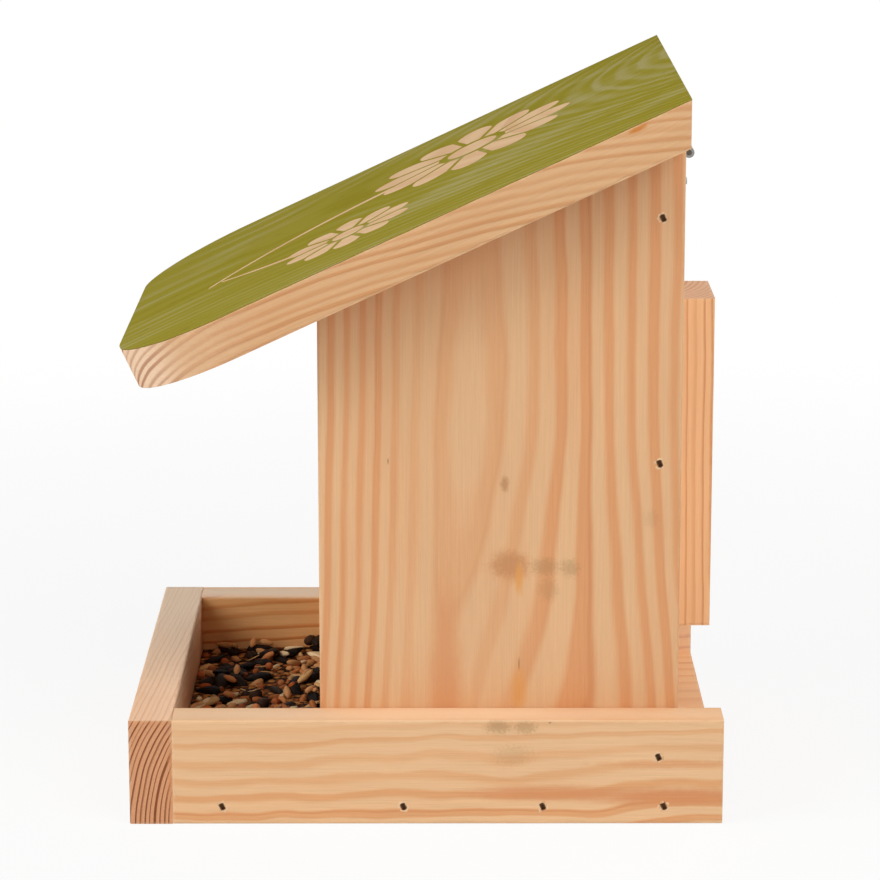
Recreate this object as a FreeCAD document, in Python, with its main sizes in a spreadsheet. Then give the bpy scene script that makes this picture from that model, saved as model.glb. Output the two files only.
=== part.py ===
import FreeCAD, Part
import math
import os

import Sketcher

# Silo bird feeder in wood, in millimetres.
# X runs across the feeder, Y from the tray's front (-) to the wall (+), Z up.
# The origin is the centre of the tray's underside.

doc = FreeCAD.newDocument("silo_bird_feeder")
sheet = doc.addObject("Spreadsheet::Sheet", "sizes")

SIZES = [
    # Tray
    ("tray_length", 247.0, "front face of the tray to the back ends of its side rails"),
    ("tray_width", 209.0, "across the outside of the tray"),
    ("rail_height", 45.0, "height of the tray's rails"),
    ("front_rail_thick", 18.0, "front rail"),
    ("side_rail_thick", 18.0, "side rails"),
    ("floor_thick", 18.0, "floor board"),
    # Hopper
    ("panel_depth", 150.0, "side panel, front edge to back edge"),
    ("panel_thick", 18.0, "side panels"),
    ("back_thick", 18.0, "back panel"),
    ("wall_height", 284.5, "ground to the top of the back panel at its back face"),
    # Roof
    ("roof_pitch", 25.0, "slope of the roof in degrees"),
    ("roof_width", 228.0, "across the roof"),
    ("roof_length", 256.8, "down the slope of the roof's top face"),
    ("roof_thick", 18.0, "roof board"),
    ("roof_corner", 50.0, "radius of the roof's front corners"),
    ("roof_gap", 0.25, "play between the roof's underside and the panels"),
    # Clear front
    ("pane_thick", 3.0, "clear pane"),
    ("pane_setback", 12.0, "panel's front edge to the pane's groove"),
    ("groove_depth", 6.0, "groove cut into each panel"),
    ("groove_play", 0.3, "play of the pane in its groove"),
    ("pane_headroom", 2.0, "pane's top edge to the roof"),
    ("seed_slot", 22.0, "floor to the pane's bottom edge"),
    # Wall batten
    ("batten_thick", 18.0, "batten, which sets the hopper off the wall"),
    ("batten_width", 42.0, "across the batten"),
    ("batten_length", 145.0, "height of the batten"),
    ("batten_foot", 62.0, "ground to the batten's lower end"),
    ("hang_hole", 8.0, "diameter of the hanging hole"),
    ("hang_hole_depth", 12.0, "depth of the hanging hole"),
    ("hang_hole_drop", 45.0, "batten's top to the hanging hole"),
    # Eased long edges of the boards
    ("arris", 0.6, "radius on the boards' long edges"),
    # Hinges
    ("hinge_length", 35.0, "along the barrel"),
    ("hinge_centre", 50.0, "middle of the feeder to the middle of a hinge"),
    ("hinge_drop", 8.0, "top of the back panel to the barrel's axis"),
    ("leaf_reach", 17.5, "barrel axis to a leaf's edge"),
    ("leaf_thick", 1.0, "hinge leaf"),
    ("barrel", 4.4, "outside diameter of the barrel"),
    ("barrel_relief", 0.3, "barrel to the boards"),
    ("hinge_pin", 2.2, "diameter of the hinge pin"),
    ("pin_play", 0.05, "radial play of the pin"),
    ("knuckle_gap", 0.25, "between knuckles"),
    ("notch_relief", 0.4, "other leaf's barrel to a leaf's notch"),
    # Screws of the hinges
    ("screw_spread", 22.0, "between the two screws of a leaf"),
    ("screw_reach", 12.5, "barrel axis to the screws"),
    ("screw_head", 4.2, "diameter of the pan head"),
    ("screw_crown", 2.8, "diameter of the flat on top of the head"),
    ("screw_rise", 1.2, "height of the head"),
    ("screw_shank", 2.4, "diameter of the shank"),
    ("screw_length", 13.0, "under the head"),
    ("screw_play", 0.15, "radial play of a screw in its leaf"),
    ("cross_length", 2.2, "across the cross recess"),
    ("cross_width", 0.6, "width of the cross recess"),
    ("cross_depth", 0.8, "depth of the cross recess"),
    # Brads
    ("brad_wire", 1.4, "square wire of a brad"),
    ("brad_head", 2.6, "across its T head"),
    ("brad_head_thick", 1.0, "thickness of its head"),
    ("brad_length", 32.0, "whole length"),
    ("brad_point", 2.0, "length of its chisel point"),
    ("brad_sink", 1.2, "head below the wood's face"),
    ("brad_runout", 1.0, "slot past the wood's face"),
    ("brad_turn", 25.0, "turn of the head about the brad in degrees"),
    ("wood_play", 0.05, "play of a brad or screw in the wood, each side"),
    ("floor_brad_height", 7.5, "ground to the brads in the floor's edges"),
    ("floor_brad_first", 38.5, "tray's front to the first brad"),
    ("floor_brad_second", 114.0, "tray's front to the second brad"),
    ("floor_brad_third", 75.0, "tray's back to the third brad"),
    ("floor_brad_last", 24.5, "tray's back to the last brad"),
    ("rail_brad_height", 29.0, "ground to the brads into the panels"),
    ("panel_brad_drop", 32.0, "top of the back panel to the upper brads"),
    ("panel_brad_rise", 132.0, "floor to the lower brads"),
    ("front_brad_low", 14.0, "ground to the front rail's lower brads"),
    ("front_brad_drop", 11.0, "rail's top to the front rail's upper brads"),
    ("front_brad_spread", 90.0, "between the front rail's brads into the floor"),
    ("foot_brad_inset", 30.0, "panel's edges to the brads under it"),
    ("foot_brad_spread", 80.0, "between the brads under the back panel"),
    ("batten_brad_spread", 24.0, "between the batten's brads"),
    ("batten_brad_end", 18.0, "batten's ends to its brads"),
    # Seed
    ("seed_front", 1.5, "depth of seed at the front rail"),
    ("seed_mouth", 3.5, "depth of seed at the hopper's mouth"),
    ("seed_back", 8.0, "depth of seed at the back panel"),
    ("seed_play", 0.3, "seed to the boards"),
]


class Dim:
    """A size worked out from the sheet: its number now, and the expression that binds it."""

    def __init__(self, value, text):
        self.value = float(value)
        self.text = text

    @staticmethod
    def of(other):
        return other if isinstance(other, Dim) else Dim(other, repr(float(other)))

    def join(self, sign, other, value):
        return Dim(value, f"({self.text} {sign} {other.text})")

    def __add__(self, other):
        other = Dim.of(other)
        return self.join("+", other, self.value + other.value)

    def __sub__(self, other):
        other = Dim.of(other)
        return self.join("-", other, self.value - other.value)

    def __mul__(self, other):
        other = Dim.of(other)
        return self.join("*", other, self.value * other.value)

    def __truediv__(self, other):
        other = Dim.of(other)
        return self.join("/", other, self.value / other.value)

    def __neg__(self):
        return ZERO - self


def tangent(angle):
    return Dim(math.tan(math.radians(angle.value)), f"tan({angle.text})")


ZERO = Dim(0.0, "0")

for row, (alias, number, note) in enumerate(SIZES, start=1):
    sheet.set(f"A{row}", note)
    sheet.set(f"B{row}", str(number))
    sheet.setAlias(f"B{row}", alias)
doc.recompute()


class Sizes:
    """The sheet's cells by name."""


for alias, number, note in SIZES:
    setattr(Sizes, alias, Dim(number, f"sizes.{alias}"))
S = Sizes


# Planes and places that several pieces share

slope = tangent(S.roof_pitch)
tray_front = -S.tray_length / 2
tray_back = S.tray_length / 2
rail_face = tray_front + S.front_rail_thick
tray_inside = S.tray_width / 2 - S.side_rail_thick
hopper_inside = tray_inside - S.panel_thick
hopper_back = tray_back - S.batten_thick
hopper_front = hopper_back - S.panel_depth
back_face = hopper_back - S.back_thick
back_middle = hopper_back - S.back_thick / 2
panel_middle = tray_inside - S.panel_thick / 2
groove_front = hopper_front + S.pane_setback
groove_width = S.pane_thick + S.groove_play * 2
pane_foot = S.floor_thick + S.seed_slot
barrel_axis = S.barrel / 2 + S.barrel_relief
hinge_height = S.wall_height - S.hinge_drop
batten_top = S.batten_foot + S.batten_length

TOWARDS = {
    "right": FreeCAD.Vector(1, 0, 0),
    "left": FreeCAD.Vector(-1, 0, 0),
    "front": FreeCAD.Vector(0, -1, 0),
    "back": FreeCAD.Vector(0, 1, 0),
    "down": FreeCAD.Vector(0, 0, -1),
}
SIDES = {"right": 1.0, "left": -1.0}


# Drawing helpers

def bind(item, path, dim):
    item.setExpression(path, Dim.of(dim).text)


def new_body(label):
    body = doc.addObject("PartDesign::Body", label)
    body.Label = label
    return body


def new_sketch(body, name, role, lift=None):
    sketch = body.newObject("Sketcher::SketchObject", f"{body.Name}_{name}")
    plane = next(f for f in body.Origin.OriginFeatures if f.Role == role)
    sketch.AttachmentSupport = (plane, [""])
    sketch.MapMode = "FlatFace"
    if lift is not None:
        bind(sketch, "AttachmentOffset.Base.z", lift)
    return sketch


def pin_point(sketch, curve, end, x, y):
    """Hold one point of a sketch at x, y from its origin."""
    for kind, axis, dim in (("DistanceX", -2, x), ("DistanceY", -1, y)):
        if dim is ZERO:
            sketch.addConstraint(Sketcher.Constraint("PointOnObject", curve, end, axis))
        else:
            number = sketch.addConstraint(
                Sketcher.Constraint(kind, -1, 1, curve, end, dim.value))
            name = f"{kind[-1].lower()}_{curve}_{end}"
            sketch.renameConstraint(number, name)
            bind(sketch, f"Constraints.{name}", dim)


def outline(sketch, points):
    """Close a polygon through points, each bound to the sheet."""
    first = sketch.GeometryCount
    count = len(points)
    corners = [FreeCAD.Vector(x.value, y.value, 0) for x, y in points]
    for i in range(count):
        sketch.addGeometry(Part.LineSegment(corners[i], corners[(i + 1) % count]), False)
    for i in range(count):
        nxt = first + (i + 1) % count
        sketch.addConstraint(Sketcher.Constraint("Coincident", first + i, 2, nxt, 1))
    for i, (x, y) in enumerate(points):
        pin_point(sketch, first + i, 1, x, y)
    return sketch


def rectangle(sketch, x_low, x_high, y_low, y_high):
    return outline(sketch, [(x_low, y_low), (x_high, y_low), (x_high, y_high), (x_low, y_high)])


def circle(sketch, x, y, diameter):
    number = sketch.addGeometry(
        Part.Circle(FreeCAD.Vector(x.value, y.value, 0), FreeCAD.Vector(0, 0, 1), diameter.value / 2),
        False)
    pin_point(sketch, number, 3, x, y)
    datum = sketch.addConstraint(Sketcher.Constraint("Diameter", number, diameter.value))
    sketch.renameConstraint(datum, f"dia_{number}")
    bind(sketch, f"Constraints.dia_{number}", diameter)
    return sketch


def swept(body, kind, name, sketch, length, reverse=False, both_ways=False):
    """Pad or pocket a sketch over a bound length."""
    feature = body.newObject(f"PartDesign::{kind}", f"{body.Name}_{name}")
    feature.Profile = sketch
    bind(feature, "Length", length)
    feature.Reversed = reverse
    feature.SideType = "Symmetric" if both_ways else "One side"
    doc.recompute()
    return feature


def pad(body, name, sketch, length, reverse=False, both_ways=False):
    return swept(body, "Pad", name, sketch, length, reverse, both_ways)


def pocket(body, name, sketch, length, reverse=False):
    before = body.Shape.Volume
    feature = swept(body, "Pocket", name, sketch, length, reverse)
    if body.Shape.Volume > before - 0.1:
        raise RuntimeError(f"{body.Label}: {name} cuts nothing")
    return feature


def revolve(body, name, sketch):
    """Turn a profile drawn beside the sketch's vertical axis."""
    feature = body.newObject("PartDesign::Revolution", f"{body.Name}_{name}")
    feature.Profile = sketch
    feature.ReferenceAxis = (sketch, ["V_Axis"])
    feature.Angle = 360
    doc.recompute()
    return feature


def round_edges(body, name, radius, wanted):
    """Fillet those edges of the body's last feature that wanted picks out."""
    base = body.Tip
    names = [f"Edge{i}" for i, edge in enumerate(base.Shape.Edges, start=1) if wanted(edge)]
    feature = body.newObject("PartDesign::Fillet", f"{body.Name}_{name}")
    feature.Base = (base, names)
    bind(feature, "Radius", radius)
    doc.recompute()
    return feature


def runs_along(axis):
    """Pick straight edges that lie along an axis."""
    def test(edge):
        if edge.Curve.TypeId != "Part::GeomLine":
            return False
        return abs(edge.tangentAt(edge.FirstParameter).dot(axis)) > 0.999
    return test


def place(item, x=None, y=None, z=None):
    for letter, dim in (("x", x), ("y", y), ("z", z)):
        if dim is not None:
            bind(item, f"Placement.Base.{letter}", dim)


ACROSS = FreeCAD.Vector(1, 0, 0)
DEEP = FreeCAD.Vector(0, 1, 0)
UP = FreeCAD.Vector(0, 0, 1)


# Fasteners: one body for each kind, linked to wherever one is driven

def turned_body(label, points):
    body = new_body(label)
    revolve(body, "turn", outline(new_sketch(body, "profile", "XZ_Plane"), points))
    return body


def wire_body(label, half_profile, width):
    """A flat blank cut from wire: half its profile mirrored about the axis, then padded."""
    body = new_body(label)
    mirrored = [(-x, y) for x, y in reversed(half_profile) if x is not ZERO]
    pad(body, "wire", outline(new_sketch(body, "profile", "XZ_Plane"), half_profile + mirrored),
        width, both_ways=True)
    body.Placement = FreeCAD.Placement(FreeCAD.Vector(), FreeCAD.Rotation(UP, S.brad_turn.value))
    body.setExpression("Placement.Rotation.Angle", f"{S.brad_turn.text} * 1 deg")
    return body


brad_neck = -S.brad_head_thick
brad_tip = -S.brad_length
brad = wire_body("brad", [
    (S.brad_head / 2, ZERO),
    (S.brad_head / 2, brad_neck),
    (S.brad_wire / 2, brad_neck),
    (S.brad_wire / 2, brad_tip + S.brad_point),
    (ZERO, brad_tip),
], S.brad_wire)

brad_slot = wire_body("brad_slot", [
    (S.brad_head / 2 + S.wood_play, S.brad_sink + S.brad_runout),
    (S.brad_head / 2 + S.wood_play, brad_neck - S.wood_play),
    (S.brad_wire / 2 + S.wood_play, brad_neck - S.wood_play),
    (S.brad_wire / 2 + S.wood_play, brad_tip - S.wood_play),
], S.brad_wire + S.wood_play * 2)

screw_tip = -S.screw_length
screw = turned_body("screw", [
    (ZERO, S.screw_rise),
    (S.screw_crown / 2, S.screw_rise),
    (S.screw_head / 2, ZERO),
    (S.screw_shank / 2, ZERO),
    (S.screw_shank / 2, screw_tip + S.screw_shank),
    (ZERO, screw_tip),
])
cross_long = S.cross_length / 2
cross_wide = S.cross_width / 2
cross = outline(new_sketch(screw, "cross_plan", "XY_Plane", lift=S.screw_rise), [
    (cross_wide, cross_wide), (cross_wide, cross_long), (-cross_wide, cross_long),
    (-cross_wide, cross_wide), (-cross_long, cross_wide), (-cross_long, -cross_wide),
    (-cross_wide, -cross_wide), (-cross_wide, -cross_long), (cross_wide, -cross_long),
    (cross_wide, -cross_wide), (cross_long, -cross_wide), (cross_long, cross_wide)])
pocket(screw, "cross", cross, S.cross_depth)

screw_hole = turned_body("screw_hole", [
    (ZERO, ZERO),
    (S.screw_shank / 2 + S.wood_play, ZERO),
    (S.screw_shank / 2 + S.wood_play, screw_tip - S.wood_play),
    (ZERO, screw_tip - S.wood_play),
])


def driven(label, kind, spots):
    """Link one kind of fastener to each spot: x, y, z of its seat and the way its head faces."""
    links = []
    for number, (x, y, z, facing) in enumerate(spots, start=1):
        link = doc.addObject("App::Link", f"{label}_{number}")
        link.LinkedObject = kind
        link.LinkTransform = True
        link.Placement = FreeCAD.Placement(FreeCAD.Vector(), FreeCAD.Rotation(UP, TOWARDS[facing]))
        place(link, x, y, z)
        links.append(link)
    group = doc.addObject("Part::Compound", label)
    group.Label = label
    group.Links = links
    return group


def brad_spots():
    """Where the brads are driven, by group."""
    floor, rail, panel, front, foot, batten = [], [], [], [], [], []
    for facing, sign in SIDES.items():
        rail_skin = (S.tray_width / 2 - S.brad_sink) * sign
        panel_skin = (tray_inside - S.brad_sink) * sign
        for y in (tray_front + S.floor_brad_first, tray_front + S.floor_brad_second,
                  tray_back - S.floor_brad_third, tray_back - S.floor_brad_last):
            floor.append((rail_skin, y, S.floor_brad_height, facing))
        rail.append((rail_skin, back_middle, S.rail_brad_height, facing))
        for z in (S.wall_height - S.panel_brad_drop, S.floor_thick + S.panel_brad_rise):
            panel.append((panel_skin, back_middle, z, facing))
        rail_middle = (S.tray_width / 2 - S.side_rail_thick / 2) * sign
        front_skin = tray_front + S.brad_sink
        for z in (S.front_brad_low, S.rail_height - S.front_brad_drop):
            front.append((rail_middle, front_skin, z, "front"))
        front.append((S.front_brad_spread / 2 * sign, front_skin, S.floor_thick / 2, "front"))
        for y in (hopper_front + S.foot_brad_inset, hopper_back - S.foot_brad_inset):
            foot.append((panel_middle * sign, y, S.brad_sink, "down"))
        foot.append((S.foot_brad_spread / 2 * sign, back_middle, S.brad_sink, "down"))
        for z in (S.batten_foot + S.batten_brad_end, batten_top - S.batten_brad_end):
            batten.append((S.batten_brad_spread / 2 * sign, tray_back - S.brad_sink, z, "back"))
    return {"floor_brads": floor, "rail_brads": rail, "panel_brads": panel,
            "front_rail_brads": front, "foot_brads": foot, "batten_brads": batten}


def screw_spots(lift):
    """Seats of the screws of both hinges' leaves, lift above the barrel's axis."""
    seat = hopper_back + S.leaf_thick
    return [(S.hinge_centre * side + S.screw_spread / 2 * end, seat, hinge_height + lift, "back")
            for side in (1.0, -1.0) for end in (1.0, -1.0)]


nodes = {}
holes = {}
for label, spots in brad_spots().items():
    nodes[label] = driven(label, brad, spots)
    holes[label] = driven(f"{label}_holes", brad_slot, spots)
for label, lift in (("roof_leaf_screws", S.screw_reach), ("back_leaf_screws", -S.screw_reach)):
    nodes[label] = driven(label, screw, screw_spots(lift))
    holes[label] = driven(f"{label}_holes", screw_hole, screw_spots(lift))
doc.recompute()


def drilled(label, blank, fixings):
    """Drill a board for the fasteners driven into it."""
    blank.Label = f"{label}_blank"
    tools = doc.addObject("Part::Compound", f"{label}_drills")
    tools.Links = [holes[name] for name in fixings]
    board = doc.addObject("Part::Cut", label)
    board.Label = label
    board.Base = blank
    board.Tool = tools
    nodes[label] = board
    return board


# Tray

front_rail = new_body("front_rail_body")
pad(front_rail, "board",
    rectangle(new_sketch(front_rail, "plan", "XY_Plane"),
              -S.tray_width / 2, S.tray_width / 2, tray_front, rail_face),
    S.rail_height)
round_edges(front_rail, "arris", S.arris, runs_along(ACROSS))
drilled("front_rail", front_rail, ["front_rail_brads"])

for side, sign in SIDES.items():
    rail = new_body(f"side_rail_{side}_body")
    pad(rail, "board",
        rectangle(new_sketch(rail, "plan", "XY_Plane"),
                  -S.side_rail_thick / 2, S.side_rail_thick / 2, rail_face, tray_back),
        S.rail_height)
    round_edges(rail, "arris", S.arris, runs_along(DEEP))
    place(rail, x=(S.tray_width / 2 - S.side_rail_thick / 2) * sign)
    drilled(f"side_rail_{side}", rail, ["front_rail_brads", "floor_brads", "rail_brads"])

floor_board = new_body("floor_board_body")
pad(floor_board, "board",
    rectangle(new_sketch(floor_board, "plan", "XY_Plane"), -tray_inside, tray_inside, rail_face, tray_back),
    S.floor_thick)
drilled("floor_board", floor_board, ["front_rail_brads", "floor_brads", "foot_brads"])


# Hopper

def under_roof(y):
    """Height of the sloping cut at y."""
    return S.wall_height - (hopper_back - y) * slope


for side, sign in SIDES.items():
    # The panel is drawn on its inner face and thickens outwards.
    panel = new_body(f"side_panel_{side}_body")
    outward = sign < 0
    pad(panel, "board",
        outline(new_sketch(panel, "profile", "YZ_Plane"), [
            (hopper_front, S.floor_thick), (hopper_back, S.floor_thick),
            (hopper_back, S.wall_height), (hopper_front, under_roof(hopper_front))]),
        S.panel_thick, reverse=outward)
    round_edges(panel, "arris", S.arris, runs_along(UP))
    # A saw-cut groove, stopped at the pane's foot and open at the top, takes the pane.
    pocket(panel, "groove",
           rectangle(new_sketch(panel, "groove_plan", "YZ_Plane"),
                     groove_front, groove_front + groove_width, pane_foot, S.wall_height),
           S.groove_depth, reverse=not outward)
    place(panel, x=hopper_inside * sign)
    drilled(f"side_panel_{side}", panel, ["rail_brads", "panel_brads", "foot_brads"])

back_panel = new_body("back_panel_body")
pad(back_panel, "board",
    outline(new_sketch(back_panel, "profile", "YZ_Plane"), [
        (back_face, S.floor_thick), (hopper_back, S.floor_thick),
        (hopper_back, S.wall_height), (back_face, under_roof(back_face))]),
    hopper_inside * 2, both_ways=True)
drilled("back_panel", back_panel, ["panel_brads", "foot_brads", "batten_brads", "back_leaf_screws"])

# Clear front: it slides down its grooves and stands on their stopped ends.
front_pane = new_body("front_pane")
pane_reach = hopper_inside + S.groove_depth - S.groove_play
pad(front_pane, "sheet",
    rectangle(new_sketch(front_pane, "plan", "XY_Plane"), -pane_reach, pane_reach, ZERO, S.pane_thick),
    under_roof(groove_front) - S.pane_headroom - pane_foot)
place(front_pane, y=groove_front + S.groove_play, z=pane_foot)
nodes["front_pane"] = front_pane


# Wall batten with its hanging hole

batten = new_body("wall_batten_body")
pad(batten, "board",
    rectangle(new_sketch(batten, "plan", "XY_Plane"),
              -S.batten_width / 2, S.batten_width / 2, -S.batten_thick, ZERO),
    S.batten_length)
round_edges(batten, "arris", S.arris, runs_along(UP))
pocket(batten, "hang_hole",
       circle(new_sketch(batten, "hang_plan", "XZ_Plane"), ZERO, S.batten_length - S.hang_hole_drop, S.hang_hole),
       S.hang_hole_depth, reverse=True)
place(batten, y=tray_back, z=S.batten_foot)
drilled("wall_batten", batten, ["batten_brads"])


# Roof: drawn square to its slope about the lower back edge, then tilted

roof = new_body("roof_board_body")
plumb = S.roof_thick * slope
pad(roof, "board",
    outline(new_sketch(roof, "profile", "YZ_Plane"), [
        (ZERO, ZERO), (plumb, S.roof_thick),
        (plumb - S.roof_length, S.roof_thick), (plumb - S.roof_length, ZERO)]),
    S.roof_width, both_ways=True)


def front_corner(edge):
    return runs_along(UP)(edge) and edge.CenterOfMass.y < -S.roof_length.value / 2


round_edges(roof, "corners", S.roof_corner, front_corner)
roof.Placement = FreeCAD.Placement(FreeCAD.Vector(), FreeCAD.Rotation(ACROSS, S.roof_pitch.value))
roof.setExpression("Placement.Rotation.Angle", f"{S.roof_pitch.text} * 1 deg")
place(roof, y=hopper_back, z=S.wall_height + S.roof_gap)
drilled("roof_board", roof, ["roof_leaf_screws"])


# Hinges: five knuckles, the back leaf holding the outer two and the middle one

KNUCKLES = 5
pitch = S.hinge_length / KNUCKLES


def knuckle_ends(number):
    """Where a knuckle starts and stops along the barrel, from the hinge's middle."""
    gap = S.knuckle_gap / 2
    left = pitch * number - S.hinge_length / 2
    right = left + pitch
    return (left if number == 0 else left + gap,
            right if number == KNUCKLES - 1 else right - gap)


def hinge_leaf(label, side, own, up):
    """One leaf: a notched plate with its knuckles rolled round the pin."""
    leaf = new_body(label)
    way = 1.0 if up else -1.0
    root = (S.barrel / 2 + S.notch_relief) * way
    edge = S.leaf_reach * way
    half = S.hinge_length / 2
    # The plate reaches the barrel at its own knuckles and stays clear of the other leaf's.
    points = [(-half, edge)]
    if 0 not in own:
        points.append((-half, root))
    for number in own:
        left, right = knuckle_ends(number)
        tab = [(left, ZERO), (right, ZERO)]
        if number > 0:
            tab.insert(0, (left, root))
        if number < KNUCKLES - 1:
            tab.append((right, root))
        points += tab
    if KNUCKLES - 1 not in own:
        points.append((half, root))
    points.append((half, edge))
    pad(leaf, "plate",
        outline(new_sketch(leaf, "plate_plan", "XZ_Plane", lift=barrel_axis - S.leaf_thick), points),
        S.leaf_thick)
    for number in own:
        start, stop = knuckle_ends(number)
        ring = new_sketch(leaf, f"knuckle_{number}_ring", "YZ_Plane", lift=start)
        circle(ring, ZERO, ZERO, S.barrel)
        circle(ring, ZERO, ZERO, S.hinge_pin + S.pin_play * 2)
        pad(leaf, f"knuckle_{number}", ring, stop - start)
    bores = new_sketch(leaf, "screw_plan", "XZ_Plane", lift=barrel_axis)
    for end in (1.0, -1.0):
        circle(bores, S.screw_spread / 2 * end, S.screw_reach * way, S.screw_shank + S.screw_play * 2)
    pocket(leaf, "screw_holes", bores, S.leaf_thick)
    place(leaf, x=S.hinge_centre * SIDES[side], y=hopper_back + barrel_axis, z=hinge_height)
    nodes[label] = leaf


for side in SIDES:
    hinge_leaf(f"hinge_{side}_back_leaf", side, (0, 2, 4), up=False)
    hinge_leaf(f"hinge_{side}_roof_leaf", side, (1, 3), up=True)
    pin = new_body(f"hinge_{side}_pin")
    pad(pin, "rod", circle(new_sketch(pin, "ring", "YZ_Plane"), ZERO, ZERO, S.hinge_pin),
        S.hinge_length, both_ways=True)
    place(pin, x=S.hinge_centre * SIDES[side], y=hopper_back + barrel_axis, z=hinge_height)
    nodes[f"hinge_{side}_pin"] = pin


# Seed lying in the tray and in the foot of the hopper

seed = new_body("seed_bed")
pad(seed, "tray_bed",
    outline(new_sketch(seed, "tray_profile", "YZ_Plane"), [
        (rail_face + S.seed_play, S.floor_thick), (hopper_front - S.seed_play, S.floor_thick),
        (hopper_front - S.seed_play, S.floor_thick + S.seed_mouth),
        (rail_face + S.seed_play, S.floor_thick + S.seed_front)]),
    (tray_inside - S.seed_play) * 2, both_ways=True)
pad(seed, "hopper_bed",
    outline(new_sketch(seed, "hopper_profile", "YZ_Plane"), [
        (hopper_front - S.seed_play * 2, S.floor_thick), (back_face - S.seed_play, S.floor_thick),
        (back_face - S.seed_play, S.floor_thick + S.seed_back),
        (hopper_front - S.seed_play * 2, S.floor_thick + S.seed_mouth)]),
    (hopper_inside - S.seed_play) * 2, both_ways=True)
nodes["seed_bed"] = seed


# Check every object, then write each piece

doc.recompute()
faults = [item.Name for item in doc.Objects
          if "Invalid" in item.State or "Error" in item.State]
if faults:
    raise RuntimeError(f"objects in error: {faults}")

os.makedirs("parts", exist_ok=True)
for label, item in nodes.items():
    shape = item.Shape
    if shape.isNull() or not shape.isValid() or not shape.Solids:
        raise RuntimeError(f"{label} has no valid solid")
    shape.exportStep(f"parts/{label}.step")
    box = shape.BoundBox
    print(f"{label}: {len(shape.Solids)} solid(s), {shape.Volume / 1000:.2f} cm3, "
          f"{box.XLength:.1f} x {box.YLength:.1f} x {box.ZLength:.1f} mm")
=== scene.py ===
"""Finishes, seed and studio for a silo bird feeder in bare pine with a stained roof."""
import logging
import math
from dataclasses import dataclass
from enum import Enum
from typing import Any, ClassVar, Dict, List, Mapping, Optional, Sequence, Tuple, Union

import bpy
import numpy as np
from mathutils import Matrix, Vector


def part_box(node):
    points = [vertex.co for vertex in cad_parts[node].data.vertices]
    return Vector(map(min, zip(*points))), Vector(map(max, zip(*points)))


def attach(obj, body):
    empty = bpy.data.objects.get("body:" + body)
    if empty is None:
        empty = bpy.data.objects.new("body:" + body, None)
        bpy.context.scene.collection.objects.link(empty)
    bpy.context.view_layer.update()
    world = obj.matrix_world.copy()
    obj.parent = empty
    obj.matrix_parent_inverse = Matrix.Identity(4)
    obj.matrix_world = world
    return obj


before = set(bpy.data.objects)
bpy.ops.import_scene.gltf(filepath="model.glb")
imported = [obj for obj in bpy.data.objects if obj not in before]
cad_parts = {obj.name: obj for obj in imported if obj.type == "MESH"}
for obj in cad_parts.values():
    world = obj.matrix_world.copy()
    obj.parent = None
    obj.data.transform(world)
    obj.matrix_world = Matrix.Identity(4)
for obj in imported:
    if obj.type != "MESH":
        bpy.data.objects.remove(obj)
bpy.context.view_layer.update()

LOG = logging.getLogger("feeder")

Pair = Tuple[float, float]
Triple = Tuple[float, float, float]
Rgba = Tuple[float, float, float, float]
Value = Union["Wire", "Tone", float, Sequence[float]]
Row = Tuple["Blemish", float, float, float, float, float]

WHOLE_TURN = 2.0 * math.pi
TINY = 1e-9
# Seeds of the random draws: the rims' lumps, where the grains drop, and their tones
RIM_SEED, DROP_SEED, TONE_SEED = 11, 7, 19

# The roof's pitch, and its top and its box in a frame that is turned by the pitch
ROOF_PITCH = math.radians(25.0)
ROOF_TOP = 0.23148
ROOF_BOX = ((-0.114, -0.03246, 0.21348), (0.114, 0.22435, ROOF_TOP))
# How far out the side faces of the rails and panels lie, and how deep marks and ticks on them go
RAIL_FACE, PANEL_FACE = 0.1045, 0.0865
MARK_DEPTH, TICK_DEPTH = 0.004, 0.003
# The height of the grain's relief
GRAIN_RELIEF = 0.00022
# Brads that show in each node, the depth and turn of their heads, and a slack for finding a board's own
SEEN_BRADS = {"floor_brads": 8, "rail_brads": 2, "panel_brads": 4, "front_rail_brads": 6}
BRAD_SINK = 0.0012
BRAD_TURN = math.radians(25.0)
BRAD_SLACK = 0.0005
# How far the dark wood round a brad reaches into the board, along the head and across it, as three ways; down
# the slot's walls it is painted shade
BRUISE_AND_SHADE_DEEP, BRUISE_AND_SHADE_LONG, BRUISE_AND_SHADE_BROAD = 0.004, 0.00165, 0.00115
BRUISE_AND_SHADE_WAYS = ((1.0 / BRUISE_AND_SHADE_DEEP, 0.0, 0.0),
               (0.0, math.sin(BRAD_TURN) / BRUISE_AND_SHADE_LONG, -math.cos(BRAD_TURN) / BRUISE_AND_SHADE_LONG),
               (0.0, math.cos(BRAD_TURN) / BRUISE_AND_SHADE_BROAD, math.sin(BRAD_TURN) / BRUISE_AND_SHADE_BROAD))


@dataclass(frozen=True)
class Tone:
    """A colour as it looks on a screen, each part from 0 to 255."""

    red: float
    green: float
    blue: float

    @property
    def linear(self) -> Rgba:
        """The tone as linear light with full alpha."""
        parts = [p / 255.0 for p in (self.red, self.green, self.blue)]
        return (*(p / 12.92 if p <= 0.04045 else ((p + 0.055) / 1.055) ** 2.4 for p in parts), 1.0)


# Torn wood round a brad, and painted shade on the walls of its slot
BRUISE_AND_SHADE = Tone(84, 52, 20)
WHITE = Tone(255, 255, 255)


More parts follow.
